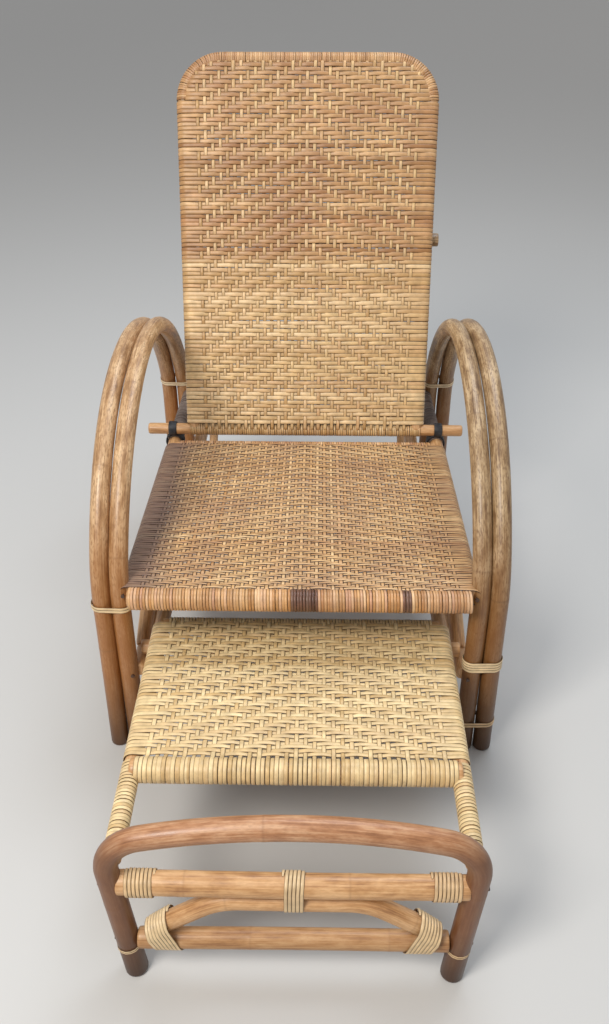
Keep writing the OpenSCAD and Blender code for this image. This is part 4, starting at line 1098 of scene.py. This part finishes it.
SMALL_END = LOWER_Z + LOWER_R + SMALL_R / math.cos(SMALL_SLOPE) - SMALL_NOTCH
SMALL_LEG = (SMALL_TOP - SMALL_END - SMALL_BEND_R * (1 - math.cos(SMALL_SLOPE))) / math.sin(SMALL_SLOPE)
SMALL_FLAT = SMALL_HALF - SMALL_BEND_R * math.sin(SMALL_SLOPE) - SMALL_LEG * math.cos(SMALL_SLOPE)
small_line = bent_line([(SMALL_LEG,), (SMALL_BEND_R, SMALL_DEG), (2 * SMALL_FLAT,)])
small_place = across_place(-SMALL_HALF, END_Y, SMALL_END, SMALL_SLOPE - math.pi / 2)
cane_pole("footrest_small_arch", [small_place @ p for p in small_line], SMALL_R, HONEY, "footrest",
          "dark_pole", 47)

foot_cane = split_cane("split_cane_cream", ["#dbb882", "#eed39f", "#d0ac74", "#f3d8a4", "#dcba88"],
                       "#523417", 0.42, 0.3, "#c4a272")
foot_rail_x = abs(straight("footrest_rail_right", FOOT_RAIL_R)[0].x)
foot_rail_z = (rear_bar_low.z + rear_bar_high.z) / 2
foot_length = rear_bar.y - front_bar.y
FOOT_FINISH = ("footrest", "footrest_cane", "footrest_panel")
footrest = Panel(Vector((0, front_bar.y, foot_rail_z)), Vector((0, 1, 0)), Vector((0, 0, 1)),
                 lambda s: foot_rail_x, FOOT_RAIL_R, column_pitch=0.0135, row_pitch=0.0072,
                 first_row=FOOT_FRONT_R + 0.0045, last_row=foot_length - FOOT_RAIL_R + 0.005)
rng = random.Random(13)
BAR_LIFT = front_bar.z - foot_rail_z
BAR_R = FOOT_FRONT_R + WRAP_CLEAR + 0.0011


def bar_turn(first, last):
    """Points of a strand round the front bar, by its front, from one angle in degrees to another."""
    count = round((first - last) / 22)
    angles = [math.radians(first + (last - first) * k / count) for k in range(count + 1)]
    return [(BAR_R * math.cos(a), BAR_LIFT + BAR_R * math.sin(a), a) for a in angles]


# The strands along the panel go on over the front bar and once round it
strands("footrest_strands_along", footrest.warp(rng, bar_turn(325, 42)), WARP_W, 0.0020, foot_cane,
        *FOOT_FINISH)
strands("footrest_rows", footrest.weft(rng), ROW_FILL * footrest.row_pitch, WEFT_T, foot_cane, *FOOT_FINISH)
# Shorter strands fill the bar between them, one or two side by side
places = []
for column in range(-footrest.columns - 1, footrest.columns + 1):
    for off in rng.choice([(0.0,), (0.0,), (-0.0008, 0.0008)]):
        x = (column + 0.5) * footrest.column_pitch + off
        places.append((x, rng.uniform(0.92, 1.0)))
places += [(-foot_rail_x + 0.0105, 1.0), (foot_rail_x - 0.0105, 1.0)]
fillers = [[footrest.point(x, s, n, (0, math.cos(a), math.sin(a)), size) for s, n, a in bar_turn(335, 15)]
           for x, size in places]
strands("footrest_front_winding", fillers, 0.0066, 0.0020, foot_cane, *FOOT_FINISH)
wrapped("footrest_rear_winding", across(-foot_rail_x + 0.012, foot_rail_x - 0.012, rear_bar), DOWN,
        FOOT_RAIL_R, 0.0050, 0.0049, 0.0018, rng, foot_cane, *FOOT_FINISH)
for side, sign in (("left", -1), ("right", 1)):
    node = f"footrest_whipping_{side}"
    low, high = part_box(node)
    ends = [Vector((sign * foot_rail_x, y, foot_rail_z)) for y in (low.y + 0.004, front_bar.y + FOOT_FRONT_R)]
    wrapped(node, filled(ends), EAST, FOOT_RAIL_R, 0.0062, 0.0060, 0.0018, rng,
            foot_cane, "footrest", "footrest_cane", node, start=UP)


# Bindings of the end frame
# The same pale cane, wound seven turns round each end of both bars and five turns at the middle.
# The lower ones lean with the small arch, and their thin end goes on twice round the leg.

along_x = Matrix(((0, 0, 1, 0), (0, 1, 0, 0), (1, 0, 0, 0), (0, 0, 0, 1)))
upper_low, upper_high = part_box("footrest_upper_bar")
UPPER_Z = (upper_low.z + upper_high.z) / 2
BIND_FINISH = (BIND_W, BIND_T, binding_cane, "footrest", "binding_cane")
STRING_SIZE = 0.5
place = Matrix.Translation((-2.5 * BIND_PITCH, END_Y, SMALL_TOP)) @ along_x
run = winding(5, SMALL_R, UPPER_R, UPPER_Z - SMALL_TOP)
strands("footrest_binding_centre", [moved(run, place)], *BIND_FINISH, "footrest_binding_centre")
for side, sign in (("left", -1), ("right", 1)):
    mirror = Matrix.Diagonal((sign, 1, 1, 1))
    node = f"footrest_binding_upper_{side}"
    low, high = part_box(node)
    start = min(abs(low.x), abs(high.x)) + BIND_W / 2
    place = mirror @ Matrix.Translation((start, END_Y, UPPER_Z)) @ along_x
    strands(node, [moved(winding(7, UPPER_R, UPPER_R, 0), place)], *BIND_FINISH, node)
    node = f"footrest_binding_lower_{side}"
    low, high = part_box(node)
    start = min(abs(low.x), abs(high.x)) + BIND_W / 2
    spread = SMALL_END - LOWER_Z + (SMALL_HALF - start) * math.tan(SMALL_SLOPE)
    place = mirror @ Matrix.Translation((start, END_Y, LOWER_Z)) @ along_x
    arch_reach = (SMALL_R + BIND_W / 2 * math.sin(SMALL_SLOPE)) / math.cos(SMALL_SLOPE) - 0.0006
    run = winding(7, LOWER_R, arch_reach, spread, -math.tan(SMALL_SLOPE), 0.3)
    foot_end = mirror @ Vector((END_FOOT_HALF, END_Y, 0))
    upward = (mirror.to_3x3() @ Vector((math.sin(END_LEAN), 0, math.cos(END_LEAN)))).normalized()
    stretch = filled([foot_end + upward * 0.057, foot_end + upward * 0.0645], 0.003)
    leg_turns = wound(stretch, Vector((0, 1, 0)), END_R + 0.0006, 0.0034, 0.0, None)
    string = [[(p, n, STRING_SIZE) for p, n, _ in turn] for turn in leg_turns]
    strands(node, [moved(run, place)] + string, *BIND_FINISH, node)


# Nails
# Plain steel wire nails, driven in where poles cross. The steel is gone dull, and rusty round the
# head.

steel, tree, shader = new_material("rusted_steel_wire")
place = add(tree, "ShaderNodeTexCoord", {})
rust = add(tree, "ShaderNodeTexNoise", {"Vector": place.outputs["Object"], "Scale": 1 / 0.003, "Detail": 3.0})
tone = add(tree, "ShaderNodeValToRGB", {"Fac": rust.outputs["Fac"]},
           stops=[(0.4, "#5d5a57"), (0.55, "#6b4a35"), (0.7, "#4a2c1c")])
feed(tree, shader, {"Base Color": tone.outputs["Color"], "Metallic": 0.6, "Roughness": 0.6})
for node in ("rail_nails", "cross_pole_nails", "end_frame_nails"):
    frame["nodes"][node].data.materials.clear()
    frame["nodes"][node].data.materials.append(steel)
